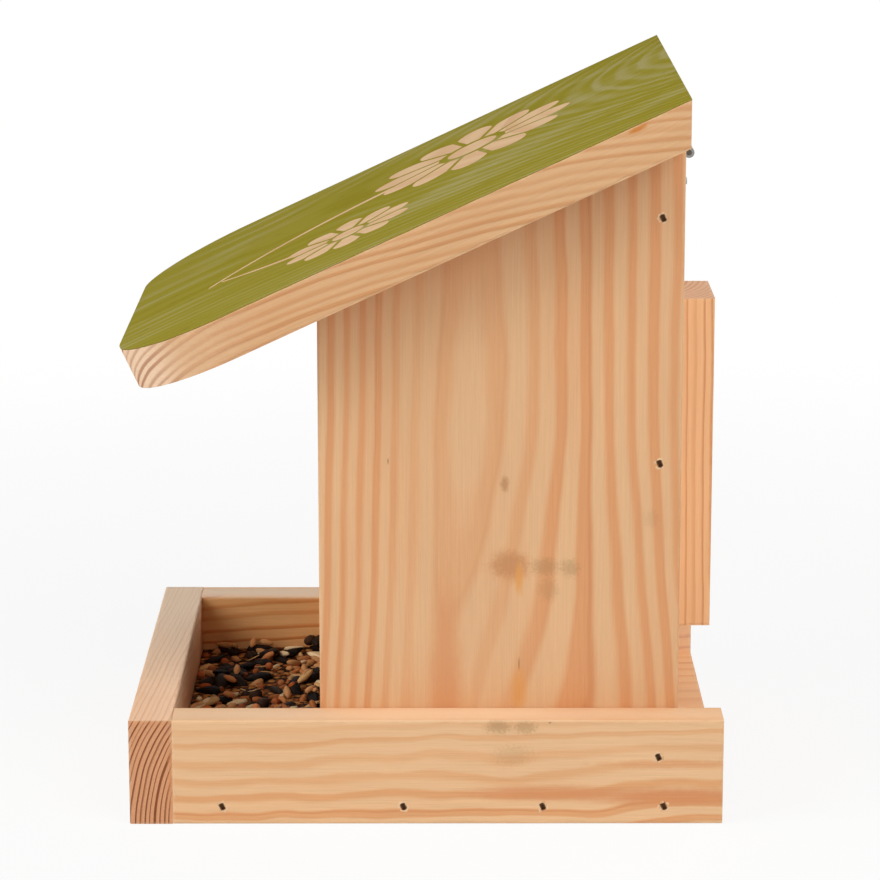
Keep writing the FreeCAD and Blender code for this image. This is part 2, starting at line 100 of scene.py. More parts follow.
class Wire:
    """A shader socket that takes part in Python sums, each of which adds a Math node."""

    def __init__(self, sheet: "Sheet", socket: bpy.types.NodeSocket) -> None:
        """Keeps the socket and the sheet that it is on."""
        self.sheet = sheet
        self.socket = socket

    def maths(self, operation: str, *values: Value) -> "Wire":
        """What a Math node makes of numbers and wires."""
        return self.sheet.node("ShaderNodeMath", {"operation": operation}, dict(enumerate(values)))

    def __add__(self, other: Value) -> "Wire":
        """Sum."""
        return self.maths("ADD", self, other)

    def __sub__(self, other: Value) -> "Wire":
        """Difference."""
        return self.maths("SUBTRACT", self, other)

    def __rsub__(self, other: Value) -> "Wire":
        """Difference from a number."""
        return self.maths("SUBTRACT", other, self)

    def __mul__(self, other: Value) -> "Wire":
        """Product."""
        return self.maths("MULTIPLY", self, other)

    __radd__, __rmul__ = __add__, __mul__

    def __truediv__(self, other: Value) -> "Wire":
        """Quotient."""
        return self.maths("DIVIDE", self, other)

    def __pow__(self, other: Value) -> "Wire":
        """Power."""
        return self.maths("POWER", self, other)

    def __abs__(self) -> "Wire":
        """Size without sign."""
        return self.maths("ABSOLUTE", self)

    def least(self, other: Value) -> "Wire":
        """The smaller of two."""
        return self.maths("MINIMUM", self, other)

    def most(self, other: Value) -> "Wire":
        """The larger of two."""
        return self.maths("MAXIMUM", self, other)

    def part(self) -> "Wire":
        """What follows the decimal point."""
        return self.maths("FRACT", self)

    def whole(self) -> "Wire":
        """The whole number below."""
        return self.maths("FLOOR", self)

    def cosine(self) -> "Wire":
        """Cosine of an angle in radians."""
        return self.maths("COSINE", self)

    def angle(self, aside: Value) -> "Wire":
        """Angle of a point this far up and so far aside."""
        return self.maths("ARCTAN2", self, aside)

    def rise(self, start: Value, end: Value) -> "Wire":
        """A smooth step from 0 at the start to 1 at the end, or a fall where the end is the lower."""
        return self.sheet.node(
            "ShaderNodeMapRange", {"interpolation_type": "SMOOTHSTEP"},
            {"Value": self, "From Min": start, "From Max": end, "To Min": 0.0, "To Max": 1.0})


class Sheet:
    """The shader nodes of one material, or of the world."""

    def __init__(self, owner: Union[bpy.types.Material, bpy.types.World]) -> None:
        """Clears the nodes.

        Args:
            owner: what they belong to.
        """
        owner.use_nodes = True
        self.owner = owner
        self.tree = owner.node_tree
        self.tree.nodes.clear()

    @classmethod
    def named(cls, name: str) -> "Sheet":
        """Starts an empty material."""
        return cls(bpy.data.materials.new(name))

    def node(self, kind: str, settings: Optional[Mapping[str, Any]] = None,
             sockets: Optional[Mapping[Union[str, int], Value]] = None, out: Union[str, int] = 0) -> Wire:
        """Adds a node of any type.

        Args:
            kind: the node's type.
            settings: its own settings, set first; stops fills a colour ramp.
            sockets: values or wires by input name or number.
            out: the output that is wanted.

        Returns:
            That output.
        """
        fresh = self.tree.nodes.new(kind)
        for key, value in (settings or {}).items():
            if key == "stops":
                elements = fresh.color_ramp.elements
                for spot, _ in value[2:]:
                    elements.new(spot)
                for element, (spot, tone) in zip(elements, sorted(value, key=lambda stop: stop[0])):
                    element.position, element.color = spot, tone.linear
            else:
                setattr(fresh, key, value)
        for key, value in (sockets or {}).items():
            if isinstance(value, Wire):
                self.tree.links.new(value.socket, fresh.inputs[key])
            else:
                fresh.inputs[key].default_value = value.linear if isinstance(value, Tone) else value
        return Wire(self, fresh.outputs[out] if fresh.outputs else fresh.inputs[0])

    def place(self, turn: float = 0.0) -> Wire:
        """The point on the object, turned about X by an angle in radians."""
        return self.turned(self.node("ShaderNodeTexCoord", out="Object"), turn)

    def facing(self, turn: float = 0.0) -> Wire:
        """The way the surface faces in the object's frame, turned about X."""
        return self.turned(self.node("ShaderNodeTexCoord", out="Normal"), turn)

    def turned(self, vector: Wire, turn: float) -> Wire:
        """A vector turned about X."""
        sockets = {"Vector": vector, "Rotation": (turn, 0.0, 0.0)}
        return self.node("ShaderNodeMapping", {"vector_type": "POINT"}, sockets) if turn else vector

    def axes(self, vector: Wire) -> List[Wire]:
        """A vector's three parts."""
        split = self.node("ShaderNodeSeparateXYZ", None, {0: vector})
        return [Wire(self, output) for output in split.socket.node.outputs]

    def vector(self, x: Value, y: Value, z: Value) -> Wire:
        """Three numbers as a vector."""
        return self.node("ShaderNodeCombineXYZ", None, {0: x, 1: y, 2: z})

    def scaled(self, vector: Wire, scale: Triple, shift: Value) -> Wire:
        """A vector times a scale, plus a shift."""
        return self.node("ShaderNodeVectorMath", {"operation": "MULTIPLY_ADD"},
                         {0: vector, 1: scale, 2: shift})

    def offset(self, spot: Wire, at: Triple, reach: Triple) -> Wire:
        """A point's way from a place, in shares of a reach along each axis."""
        return self.scaled(spot, tuple(1.0 / r for r in reach), tuple(-a / r for a, r in zip(at, reach)))

    def dot(self, vector: Wire, way: Triple) -> Wire:
        """How far a vector goes along a way."""
        return self.node("ShaderNodeVectorMath", {"operation": "DOT_PRODUCT"}, {0: vector, 1: way}, "Value")

    def span(self, vector: Wire) -> Wire:
        """A vector's length."""
        return self.node("ShaderNodeVectorMath", {"operation": "LENGTH"}, {0: vector}, "Value")

    def noise(self, spot: Wire, scale: Triple, seed: float, detail: float = 2.0, rough: float = 0.5) -> Wire:
        """Noise about 0, with lumps per metre along each axis, octaves, and how strong the finer ones are."""
        moved = self.scaled(spot, scale, (seed * 3.7, seed * 1.3, seed * 2.1))
        return self.node("ShaderNodeTexNoise", {"noise_dimensions": "3D"},
                         {"Vector": moved, "Scale": 1.0, "Detail": detail, "Roughness": rough}) - 0.5

    def cells(self, spot: Wire, scale: float, out: str) -> Wire:
        """What a pattern of cells gives at a point: a cell's own Color, or the Distance from its middle."""
        return self.node("ShaderNodeTexVoronoi", {"feature": "F1"}, {"Vector": spot, "Scale": scale}, out)

    def chance(self, number: Wire, seed: float) -> Wire:
        """A number from 0 to 1 for each whole number."""
        return self.node("ShaderNodeTexWhiteNoise", {"noise_dimensions": "1D"}, {"W": number + seed * 17.0})

    def mix(self, share: Value, first: Value, second: Value, blend: str = "MIX") -> Wire:
        """Two colours mixed by the share of the second."""
        return self.node("ShaderNodeMix", {"data_type": "RGBA", "blend_type": blend},
                         {0: share, 6: first, 7: second}, 2)

    def lit(self, colour: Value, light: Wire) -> Wire:
        """A colour times a brightness."""
        return self.mix(1.0, colour, self.vector(light, light, light), "MULTIPLY")

    def bump(self, height: Wire, depth: float) -> Wire:
        """A normal from a relief of 0 to 1, where 1 stands for a depth in metres."""
        return self.node("ShaderNodeBump", None, {"Strength": 1.0, "Distance": depth, "Height": height})

    def shader(self, sockets: Mapping[Union[str, int], Value]) -> Wire:
        """A Principled shader with these values and wires."""
        return self.node("ShaderNodeBsdfPrincipled", None, sockets)

    def ended(self, shader: Wire) -> bpy.types.Material:
        """The finished material, which ends in a shader."""
        self.node("ShaderNodeOutputMaterial", None, {"Surface": shader})
        return self.owner

    def surface(self, sockets: Mapping[Union[str, int], Value]) -> bpy.types.Material:
        """The finished material, of one Principled shader."""
        return self.ended(self.shader(sockets))

    def blended(self, share: Wire, first: Wire, second: Wire) -> bpy.types.Material:
        """The finished material, of two shaders and the second one's share."""
        return self.ended(self.node("ShaderNodeMixShader", None, {0: share, 1: first, 2: second}))

    def seen(self) -> Wire:
        """1 for rays from the camera, off metal or through the clear sheet, and 0 for the light itself."""
        camera, glossy, clear = (self.node("ShaderNodeLightPath", out=f"Is {ray} Ray")
                                 for ray in ("Camera", "Glossy", "Transmission"))
        return camera.most(glossy).most(clear)


class Grain(Enum):
    """Which way a board's fibres run: the axis along them, then the two across."""

    SIDE_TO_SIDE = (0, 1, 2)
    FRONT_TO_BACK = (1, 0, 2)
    UPRIGHT = (2, 0, 1)


class Blemish(Enum):
    """What marks a board, a real blemish or painted light: its tone, how ragged it is and how fine."""

    KNOT = (Tone(158, 100, 50), 0.8, 1.6)
    RESIN = (Tone(221, 152, 74), 0.7, 1.0)
    SMUDGE = (Tone(158, 120, 76), 1.2, 2.0)
    TICK = (Tone(92, 66, 44), 0.3, 1.0)
    GUM = (Tone(196, 116, 40), 0.6, 1.0)
    WARM = (Tone(212, 144, 94), 0.9, 1.0)
    # Painted light: a pale patch where more light falls, on rail tops, the lit end of the far rail and the
    # roof's near front
    PAINTED_LIGHT = (Tone(246, 222, 194), 0.4, 1.0)
    BAND = (Tone(211, 142, 92), 0.25, 1.0)


@dataclass(frozen=True)
class Mark:
    """One mark, a real blemish or painted light, as a soft ellipsoid round a point of the board."""

    kind: Blemish
    at: Triple
    reach: Triple
    strength: float = 0.7


@dataclass(frozen=True)
class Parting:
    """A place that the grain parts round: to each side of it along a way, the rings are pushed apart."""

    at: Triple
    reach: Triple
    way: Triple
    push: float


@dataclass(frozen=True)
class PineTones:
    """Colours of a bare board: early wood, late wood, its dark edge, and both on the end grain."""

    early: Tone = Tone(223, 178, 133)
    late: Tone = Tone(216, 153, 103)
    dark: Tone = Tone(203, 137, 88)
    end_early: Tone = Tone(205, 146, 106)
    end_late: Tone = Tone(150, 90, 56)


@dataclass(frozen=True)
class Board:
    """What the grain of a board gives: its colour, roughness, relief and late wood."""

    colour: Wire
    rough: Wire
    relief: Wire
    late: Wire


@dataclass(frozen=True)
class Pine:
    """A bare board cut from a log whose heart lies at a given place, so that its rings cross every face.

    The heart drifts along the board and bows with the square of the way from bow_at. The skew makes years
    narrow to one side of it and broad to the other. Late wood sets in at the share onset of a year, is at its
    darkest from the share full and drops away over the share fall at the year's end. It is bolder, by the
    gain, from the first bold radius to the second. The wood is dark round the brads and worn along the edges
    of the box, which is in a frame turned about X by the turn.

    SHAKES has the scale along and across, the step of the seed and the share of each noise in the rings.
    """

    SHAKES: ClassVar[Tuple[Tuple[float, ...], ...]] = (
        (9.0, 16.0, 0.0, 1.0), (30.0, 44.0, 5.0, 0.42), (85.0, 170.0, 9.0, 0.05))
    # Lumps per metre along the fibres and across them
    FIBRE: ClassVar[Pair] = (24.0, 1200.0)
    HAIR: ClassVar[Pair] = (130.0, 5200.0)
    CLOUD: ClassVar[Pair] = (11.0, 30.0)
    WARMTH: ClassVar[Pair] = (7.0, 46.0)
    PORES: ClassVar[Pair] = (1900.0, 1900.0)
    MARK_LUMPS: ClassVar[Pair] = (220.0, 420.0)
    WORN_LUMPS: ClassVar[Pair] = (180.0, 420.0)
    TORN_LUMPS: ClassVar[Triple] = (900.0, 900.0, 900.0)
    # How far a face has to look along the fibres to count as end grain
    END_FACING: ClassVar[Pair] = (0.38, 0.80)
    # The part of a mark that is full, and the step of its seed per metre of height
    MARK_CORE: ClassVar[float] = 0.25
    MARK_STEP: ClassVar[float] = 90.0
    # Where the dark wood round a brad ends, in shares of its reach, and how dark it is: torn wood, and
    # painted shade down the slot
    BRUISE_AND_SHADE_END: ClassVar[Pair] = (1.12, 0.88)
    BRUISE_AND_SHADE_SHARE: ClassVar[float] = 0.9
    # The colour of a worn edge, where it sets in and how ragged that is
    WORN: ClassVar[Tone] = Tone(236, 200, 162)
    WORN_REACH: ClassVar[Pair] = (0.0011, 0.0001)
    WORN_RAGGED: ClassVar[float] = 0.0022

    grain: Grain
    heart: Pair
    drift: Pair
    year: float
    seed: float
    phase: float = 0.0
    uneven: float = 0.5
    waver: float = 0.004
    contrast: float = 1.0
    onset: float = 0.42
    fall: float = 0.08
    bow: Pair = (0.0, 0.0)
    bow_at: float = 0.0
    full: float = 0.82
    skew: Pair = (0.0, 0.0)
    bold: Pair = (0.0, 1.0)
    gain: float = 0.0
    partings: Tuple[Parting, ...] = ()
    tones: PineTones = PineTones()
    marks: Tuple[Mark, ...] = ()
    brads: Tuple[Triple, ...] = ()
    turn: float = 0.0
    box: Optional[Tuple[Triple, Triple]] = None

    def along_scale(self, along: float, across: float) -> Triple:
        """Lumps per metre along and across the fibres, in the order of the axes."""
        return tuple(along if axis == self.grain.value[0] else across for axis in range(3))

    def lumps(self, sheet: Sheet, spot: Wire, scale: Pair, step: float, detail: float = 2.0,
              rough: float = 0.5) -> Wire:
        """The board's own noise, with a scale along its fibres and one across."""
        return sheet.noise(spot, self.along_scale(*scale), self.seed + step, detail, rough)

    def rings(self, sheet: Sheet, spot: Wire) -> Tuple[Wire, Wire]:
        """The year rings.

        The distance from the drifting heart, shaken by slow noise and pushed apart where the grain parts, is
        divided by a year's growth. Its fraction rises from early to late wood and drops at the year's end.

        Args:
            sheet: the material's nodes.
            spot: the point on the board.

        Returns:
            How far the point is late wood, and how far it is the dark edge of a year.
        """
        parts = sheet.axes(spot)
        along, first, second = (parts[i] for i in self.grain.value)
        bend = (along - self.bow_at) ** 2.0
        aside = first - (along * self.drift[0] + bend * self.bow[0] + self.heart[0])
        above = second - (along * self.drift[1] + bend * self.bow[1] + self.heart[1])
        slow, quick, fine = (self.lumps(sheet, spot, (length, width), step, 1.0) * (self.waver * share)
                             for length, width, step, share in self.SHAKES)
        plain = (aside * aside + above * above) ** 0.5
        radius = plain + (slow + quick + fine) - (aside * self.skew[0] + above * self.skew[1])
        for parting in self.partings:
            off = sheet.offset(spot, parting.at, parting.reach)
            radius = radius + sheet.dot(off, parting.way) * sheet.span(off).rise(1.0, 0.0) * parting.push
        count = radius / self.year + self.phase
        streaks = sheet.vector(count * 0.83, self.seed, 0.0)
        count = count + sheet.noise(streaks, (1.0, 1.0, 1.0), self.seed, 0.0) * self.uneven
        age = count.part()
        luck = sheet.chance(count.whole(), self.seed)
        drop = age.rise(1.0, 1.0 - self.fall)
        late = age.rise(self.onset + luck * 0.20, self.full) * drop * (0.50 + luck * 0.50)
        edge = age.rise(0.76, 0.95 - self.fall * 0.5) * drop * luck.rise(0.20, 1.0)
        if self.gain:
            strength = 1.0 + (plain.rise(*self.bold) - 0.5) * self.gain
            late, edge = late * strength, edge * strength
        return late, edge

    def arris(self, sheet: Sheet, spot: Wire) -> Wire:
        """How near a point is to an edge of the board's box.

        The three distances to the box's sides are put in order: the middle one is how far the nearest edge
        is.

        Args:
            sheet: the material's nodes.
            spot: the point on the board.

        Returns:
            0 away from the edges, to 1 on one.
        """
        low, high = self.box
        gaps = [(part - low[i]).least(high[i] - part) for i, part in enumerate(sheet.axes(spot))]
        middle = gaps[0].least(gaps[1]).most(gaps[0].most(gaps[1]).least(gaps[2]))
        ragged = self.lumps(sheet, spot, self.WORN_LUMPS, 2.0) * self.WORN_RAGGED
        return (middle + ragged).rise(*self.WORN_REACH)

    def marked(self, sheet: Sheet, spot: Wire, colour: Wire) -> Wire:
        """The colour with the board's marks on it, real blemishes and painted light, whose edges are broken
        up by lumps.

        Args:
            sheet: the material's nodes.
            spot: the point on the board.
            colour: the clean board's colour.

        Returns:
            The marked board's colour.
        """
        for mark in self.marks:
            tone, ragged, fine = mark.kind.value
            away = sheet.span(sheet.offset(spot, mark.at, mark.reach))
            scale = (self.MARK_LUMPS[0] * fine * fine, self.MARK_LUMPS[1] * fine)
            lumps = self.lumps(sheet, spot, scale, mark.at[2] * self.MARK_STEP, 3.0, 0.65)
            share = (away + lumps * ragged).rise(1.0, self.MARK_CORE) * mark.strength
            colour = sheet.mix(share, colour, tone)
        return self.bruised_and_shaded(sheet, spot, colour)

    def bruised_and_shaded(self, sheet: Sheet, spot: Wire, colour: Wire) -> Wire:
        """The colour with dark, torn wood round each brad, and painted shade down the walls of its slot.

        The ways from the brad along its turned head, across it and into the wood are each divided by a reach,
        and the largest of the three tells how far out the point is.

        Args:
            sheet: the material's nodes.
            spot: the point on the board.
            colour: the board's colour without brads.

        Returns:
            The board's colour.
        """
        for at in self.brads:
            off = sheet.offset(spot, at, (1.0, 1.0, 1.0))
            deep, along, across = (abs(sheet.dot(off, way)) for way in BRUISE_AND_SHADE_WAYS)
            lumps = sheet.noise(spot, self.TORN_LUMPS, self.seed, 2.0) * 0.5
            out = deep.most(along).most(across) + lumps
            colour = sheet.mix(out.rise(*self.BRUISE_AND_SHADE_END) * self.BRUISE_AND_SHADE_SHARE, colour, BRUISE_AND_SHADE)
        return colour

    def bare(self, sheet: Sheet, spot: Wire) -> Board:
        """The bare board.

        Args:
            sheet: the material's nodes.
            spot: the point on the board.

        Returns:
            Its grain.
        """
        tones = self.tones
        late, edge = self.rings(sheet, spot)
        fibre = self.lumps(sheet, spot, self.FIBRE, 3.0, 3.0, 0.6)
        hair = self.lumps(sheet, spot, self.HAIR, 4.0, 2.0, 0.6)
        cloud = self.lumps(sheet, spot, self.CLOUD, 7.0)
        warm = self.lumps(sheet, spot, self.WARMTH, 8.0).rise(-0.12, 0.25)
        face = sheet.mix((late + warm * 0.28) * self.contrast, tones.early, tones.late)
        face = sheet.mix(edge * (0.55 * self.contrast), face, tones.dark)
        end = sheet.mix((late + edge * 0.6).rise(0.05, 0.95), tones.end_early, tones.end_late)
        pores = self.lumps(sheet, spot, self.PORES, 6.0, 2.0, 0.7)
        cut = abs(sheet.axes(sheet.facing(self.turn))[self.grain.value[0]]).rise(*self.END_FACING)
        colour = sheet.mix(cut, face, end)
        light = 1.0 + fibre * 0.20 + hair * 0.12 + cloud * 0.12 + cut * pores * 0.45
        colour = self.marked(sheet, spot, sheet.lit(colour, light))
        relief = late * 0.30 + fibre * 0.55 + hair * 0.30 + cut * pores * 0.6
        rough = 0.60 - late * 0.10 + fibre * 0.22 + cut * 0.18
        if self.box is not None:
            worn = self.arris(sheet, spot)
            colour = sheet.mix(worn * 0.22, colour, self.WORN)
            relief = relief - worn * 0.8
            rough = rough + worn * 0.12
        return Board(colour, rough, relief, late)

    def material(self, name: str) -> bpy.types.Material:
        """The board's material.

        Args:
            name: what it is called.

        Returns:
            The material.
        """
        sheet = Sheet.named(name)
        board = self.bare(sheet, sheet.place(self.turn))
        return sheet.surface({"Base Color": board.colour, "Roughness": board.rough,
                              "Specular IOR Level": 0.40, "Normal": sheet.bump(board.relief, GRAIN_RELIEF)})


@dataclass(frozen=True)
class Daisy:
    """A plain flower left bare in the stain: middle across and up the slope, reach, petals and turn.

    Its eye and the stained ring round it are shares of the reach; the seam is the stain between its petals.
    """

    at: Pair
    reach: float
    petals: int
    turn: float
    eye: float = 0.25
    ring: float = 0.34
    seam: Pair = (0.0008, 0.0015)
    soft: float = 0.0004

    def mask(self, x: Wire, s: Wire) -> Wire:
        """The flower's outline.

        A petal's tip is where the size of a cosine of the angle peaks, and the stain runs between the petals
        where that cosine times the distance is small; a ring of stain stands round the eye.

        Args:
            x: the point's place across the roof.
            s: its place up the slope.

        Returns:
            How far the point is inside the flower.
        """
        aside, up = x - self.at[0], s - self.at[1]
        away = (aside * aside + up * up) ** 0.5
        crest = abs((up.angle(aside) * (self.petals / 2.0) + self.turn).cosine())
        tip = self.reach * (0.70 + 0.30 * crest ** 0.7)
        soft, eye, ring = self.soft, self.reach * self.eye, self.reach * self.ring
        inside = (tip - away).rise(-soft, soft)
        seam = (crest * away * (2.0 / self.petals)).rise(*self.seam)
        outside = away.rise(ring - soft, ring + soft)
        return inside * (outside * seam).most(away.rise(eye + soft, eye - soft))


@dataclass(frozen=True)
class Stem:
    """A bare stem through three points of the slope, of a width that thins towards its foot."""

    head: Pair
    bend: Pair
    foot: Pair
    width: float
    soft_side: float = 0.0003
    soft_end: float = 0.0006

    def ring(self) -> Triple:
        """The circle through the three points.

        Returns:
            Its middle, across and up the slope, and its radius.
        """
        (ax, ay), (bx, by), (cx, cy) = self.head, self.bend, self.foot
        twice = 2.0 * (ax * (by - cy) + bx * (cy - ay) + cx * (ay - by))
        a, b, c = ax * ax + ay * ay, bx * bx + by * by, cx * cx + cy * cy
        x = (a * (by - cy) + b * (cy - ay) + c * (ay - by)) / twice
        y = (a * (cx - bx) + b * (ax - cx) + c * (bx - ax)) / twice
        return x, y, math.hypot(ax - x, ay - y)

    def mask(self, x: Wire, s: Wire) -> Wire:
        """The stem's outline: near the circle, and between the ends up the slope.

        Args:
            x: the point's place across the roof.
            s: its place up the slope.

        Returns:
            How far the point is on the stem.
        """
        cx, cy, radius = self.ring()
        aside, up = x - cx, s - cy
        off = abs((aside * aside + up * up) ** 0.5 - radius)
        low, high = self.foot[1], self.head[1]
        half = (s - low) * (self.width * 0.35 / (high - low)) + self.width * 0.25
        end = self.soft_end
        within = s.rise(low - end, low + end) * s.rise(high + end, high - end)
        return (half - off).rise(-self.soft_side, self.soft_side) * within


@dataclass(frozen=True)
class StainedPine(Pine):
    """A board with a green stain on its top face, which leaves a plain flower motif bare."""

    # Lumps per metre of the stain's streaks and drifts, of its wavering outline and of its bleeding edge
    STREAK: ClassVar[Triple] = (330.0, 11.0, 330.0)
    DRIFTS: ClassVar[Triple] = (30.0, 8.0, 30.0)
    SHAKE: ClassVar[Triple] = (900.0, 300.0, 900.0)
    BLEED: ClassVar[Triple] = (260.0, 90.0, 260.0)
    # How far the outline wavers and the edge bleeds
    SHAKE_REACH: ClassVar[float] = 0.0006
    BLEED_REACH: ClassVar[float] = 0.0005
    # How far below the top face the stain ends, and its dark rim starts
    STAIN_END: ClassVar[Pair] = (0.00050, 0.00034)
    RIM_START: ClassVar[Pair] = (0.00003, 0.00022)

    top: float = 0.0
    stain: Tone = Tone(152, 142, 50)
    stain_pale: Tone = Tone(169, 160, 104)
    stain_deep: Tone = Tone(144, 134, 36)
    line: Tone = Tone(92, 76, 30)
    scraped: Tone = Tone(246, 222, 184)
    flowers: Tuple[Daisy, ...] = ()
    stems: Tuple[Stem, ...] = ()

    def material(self, name: str) -> bpy.types.Material:
        """The board's material.

        Args:
            name: what it is called.

        Returns:
            The material.
        """
        sheet = Sheet.named(name)
        spot = sheet.place(self.turn)
        board = self.bare(sheet, spot)
        x, s, height = sheet.axes(spot)
        streak = sheet.noise(spot, self.STREAK, self.seed + 21.0, 3.0, 0.65)
        cloud = sheet.noise(spot, self.DRIFTS, self.seed + 23.0, 2.0)
        pale = (board.late * 0.6 + streak * 1.2 + cloud * 2.0 + (s - 0.10) * 1.2).rise(0.12, 0.90)
        deep = (0.28 - board.late * 0.8 - streak * 0.9 - cloud * 1.4).rise(0.05, 0.55)
        green = sheet.mix(deep * 0.9, self.stain, self.stain_deep)
        green = sheet.mix(pale * 0.95, green, self.stain_pale)
        shake = sheet.noise(spot, self.SHAKE, self.seed + 25.0, 2.0) * self.SHAKE_REACH
        x, s = x + shake, s + shake
        motif = self.flowers[0].mask(x, s)
        for piece in (*self.flowers[1:], *self.stems):
            motif = motif.most(piece.mask(x, s))
        depth = self.top - height
        bleed = sheet.noise(spot, self.BLEED, self.seed + 27.0, 3.0) * self.BLEED_REACH
        on_top = (depth + bleed).rise(*self.STAIN_END)
        rim = (depth + bleed).rise(*self.RIM_START) * on_top
        cover = on_top * (1.0 - motif)
        green = sheet.mix(rim * 0.7, green, self.line)
        bare = sheet.mix(on_top * motif * 0.35, board.colour, self.scraped)
        colour = sheet.mix(cover * 0.97, bare, green)
        return sheet.surface({"Base Color": colour, "Roughness": board.rough - cover * 0.06,
                              "Specular IOR Level": 0.0,
                              "Normal": sheet.bump(board.relief - cover * 0.05, GRAIN_RELIEF)})


@dataclass(frozen=True)
class Zinc:
    """Zinc-plated steel: faint spangle, rubbed streaks and dull, darker patches."""

    tone: Tone = Tone(150, 149, 146)
    seed: float = 1.0

    def material(self, name: str) -> bpy.types.Material:
        """The plated metal.

        Args:
            name: what it is called.

        Returns:
            The material.
        """
        sheet = Sheet.named(name)
        spot = sheet.place()
        grey = sheet.axes(sheet.cells(spot, 900.0, "Color"))[0] - 0.5
        streak = sheet.noise(spot, (260.0, 2600.0, 2600.0), self.seed, 3.0)
        dull = sheet.noise(spot, (120.0, 120.0, 120.0), self.seed + 3.0, 3.0, 0.6)
        light = 1.0 + grey * 0.10 + streak * 0.14 + dull * 0.30
        return sheet.surface({"Base Color": sheet.lit(self.tone, light), "Metallic": 1.0,
                              "Roughness": 0.38 + streak * 0.22 + dull * 0.25,
                              "Normal": sheet.bump(streak * 0.5 + grey * 0.2, 0.00004)})


@dataclass(frozen=True)
class Brad:
    """Dark steel wire with a brown, slightly rusty head."""

    tone: Tone = Tone(92, 64, 38)
    rust: Tone = Tone(112, 68, 30)

    def material(self, name: str) -> bpy.types.Material:
        """The wire's material.

        Args:
            name: what it is called.

        Returns:
            The material.
        """
        sheet = Sheet.named(name)
        spot = sheet.place()
        blotch = sheet.noise(spot, (700.0, 700.0, 700.0), 3.0, 3.0, 0.6)
        colour = sheet.mix((blotch + 0.1).rise(0.0, 0.3) * 0.6, self.tone, self.rust)
        return sheet.surface({"Base Color": colour, "Metallic": 0.6, "Roughness": 0.6 + blotch * 0.4,
                              "Normal": sheet.bump(blotch, 0.00004)})


@dataclass(frozen=True)
class Acrylic:
    """Clear sheet with fine handling scratches, a little seed dust at its foot and satin sawn edges."""

    foot: float = 0.040
    sawn: Tone = Tone(226, 234, 232)

    def material(self, name: str) -> bpy.types.Material:
        """The clear sheet's material.

        Args:
            name: what it is called.

        Returns:
            The material.
        """
        sheet = Sheet.named(name)
        spot = sheet.place()
        height = sheet.axes(spot)[2]
        scratch = sheet.noise(spot, (90.0, 900.0, 2400.0), 2.0, 2.0).rise(0.10, 0.22)
        dust = (sheet.noise(spot, (900.0, 900.0, 700.0), 5.0, 4.0, 0.7)
                - (height - self.foot) * 4.0).rise(0.02, 0.22)
        colour = sheet.mix(dust * 0.35, Tone(250, 253, 252), Tone(214, 196, 168))
        clear = sheet.shader({
            "Base Color": colour, "Roughness": 0.03 + scratch * 0.10 + dust * 0.25,
            "Transmission Weight": 1.0, "IOR": 1.49, "Normal": sheet.bump(scratch, 0.00001)})
        saw = sheet.noise(spot, (700.0, 2400.0, 700.0), 9.0, 2.0)
        satin = sheet.shader({"Base Color": self.sawn, "Roughness": 0.45 + saw * 0.3,
                              "Normal": sheet.bump(saw, 0.00005)})
        edge = abs(sheet.axes(sheet.facing())[1]).rise(0.9, 0.5)
        return sheet.blended(edge, clear, satin)


@dataclass(frozen=True)
class SeedBed:
    """The small grain and dust that lie under the larger seeds."""

    cell: float = 0.0030
    wobble: float = 0.0016

    def material(self, name: str) -> bpy.types.Material:
        """The bed's material, in which each grain is one cell, with painted shade in the gaps between the
        cells.

        Args:
            name: what it is called.

        Returns:
            The material.
        """
        sheet = Sheet.named(name)
        spot = sheet.place()
        wobble = sheet.node("ShaderNodeTexNoise", None,
                            {"Vector": spot, "Scale": 260.0, "Detail": 1.0}, "Color")
        moved = sheet.scaled(wobble, (self.wobble, self.wobble, self.wobble), spot)
        pick = sheet.axes(sheet.cells(moved, 1.0 / self.cell, "Color"))[0]
        away = sheet.cells(moved, 1.0 / self.cell, "Distance")
        grain = sheet.node("ShaderNodeValToRGB", {"stops": [
            (0.0, Tone(64, 36, 18)), (1.0, Tone(186, 124, 68)), (0.3, Tone(122, 70, 34)),
            (0.55, Tone(170, 98, 48)), (0.8, Tone(206, 142, 82))]}, {"Fac": pick})
        # Painted shade: the gaps between the grains' cells are darkened
        colour = sheet.mix(away.rise(0.35, 0.75), grain, Tone(24, 15, 10))
        return sheet.surface({"Base Color": colour, "Roughness": 0.6 + pick * 0.2, "Specular IOR Level": 0.03,
                              "Normal": sheet.bump(1.0 - away, 0.0012)})


@dataclass(frozen=True)
class SeedCoat:
    """The coat of a loose seed: its own tone from an attribute, with stripes along it."""

    stripe: Tone
    stripes: float
    rough: float

    def material(self, name: str) -> bpy.types.Material:
        """The coat's material.

        Args:
            name: what it is called.

        Returns:
            The material.
        """
        sheet = Sheet.named(name)
        tone = sheet.node("ShaderNodeAttribute", {"attribute_name": "tone"}, None, "Color")
        local = sheet.node("ShaderNodeAttribute", {"attribute_name": "local"}, None, "Vector")
        band = sheet.noise(local, (0.7, 5.0, 5.0), 4.0, 2.0, 0.6)
        speck = sheet.noise(local, (6.0, 9.0, 9.0), 8.0, 3.0, 0.6)
        colour = sheet.mix(band.rise(0.03, 0.16) * self.stripes, tone, self.stripe)
        colour = sheet.lit(colour, 1.0 + speck * 0.6)
        return sheet.surface({"Base Color": colour, "Roughness": self.rough + speck * 0.3,
                              "Specular IOR Level": 0.05, "Normal": sheet.bump(band + speck * 0.4, 0.00025)})


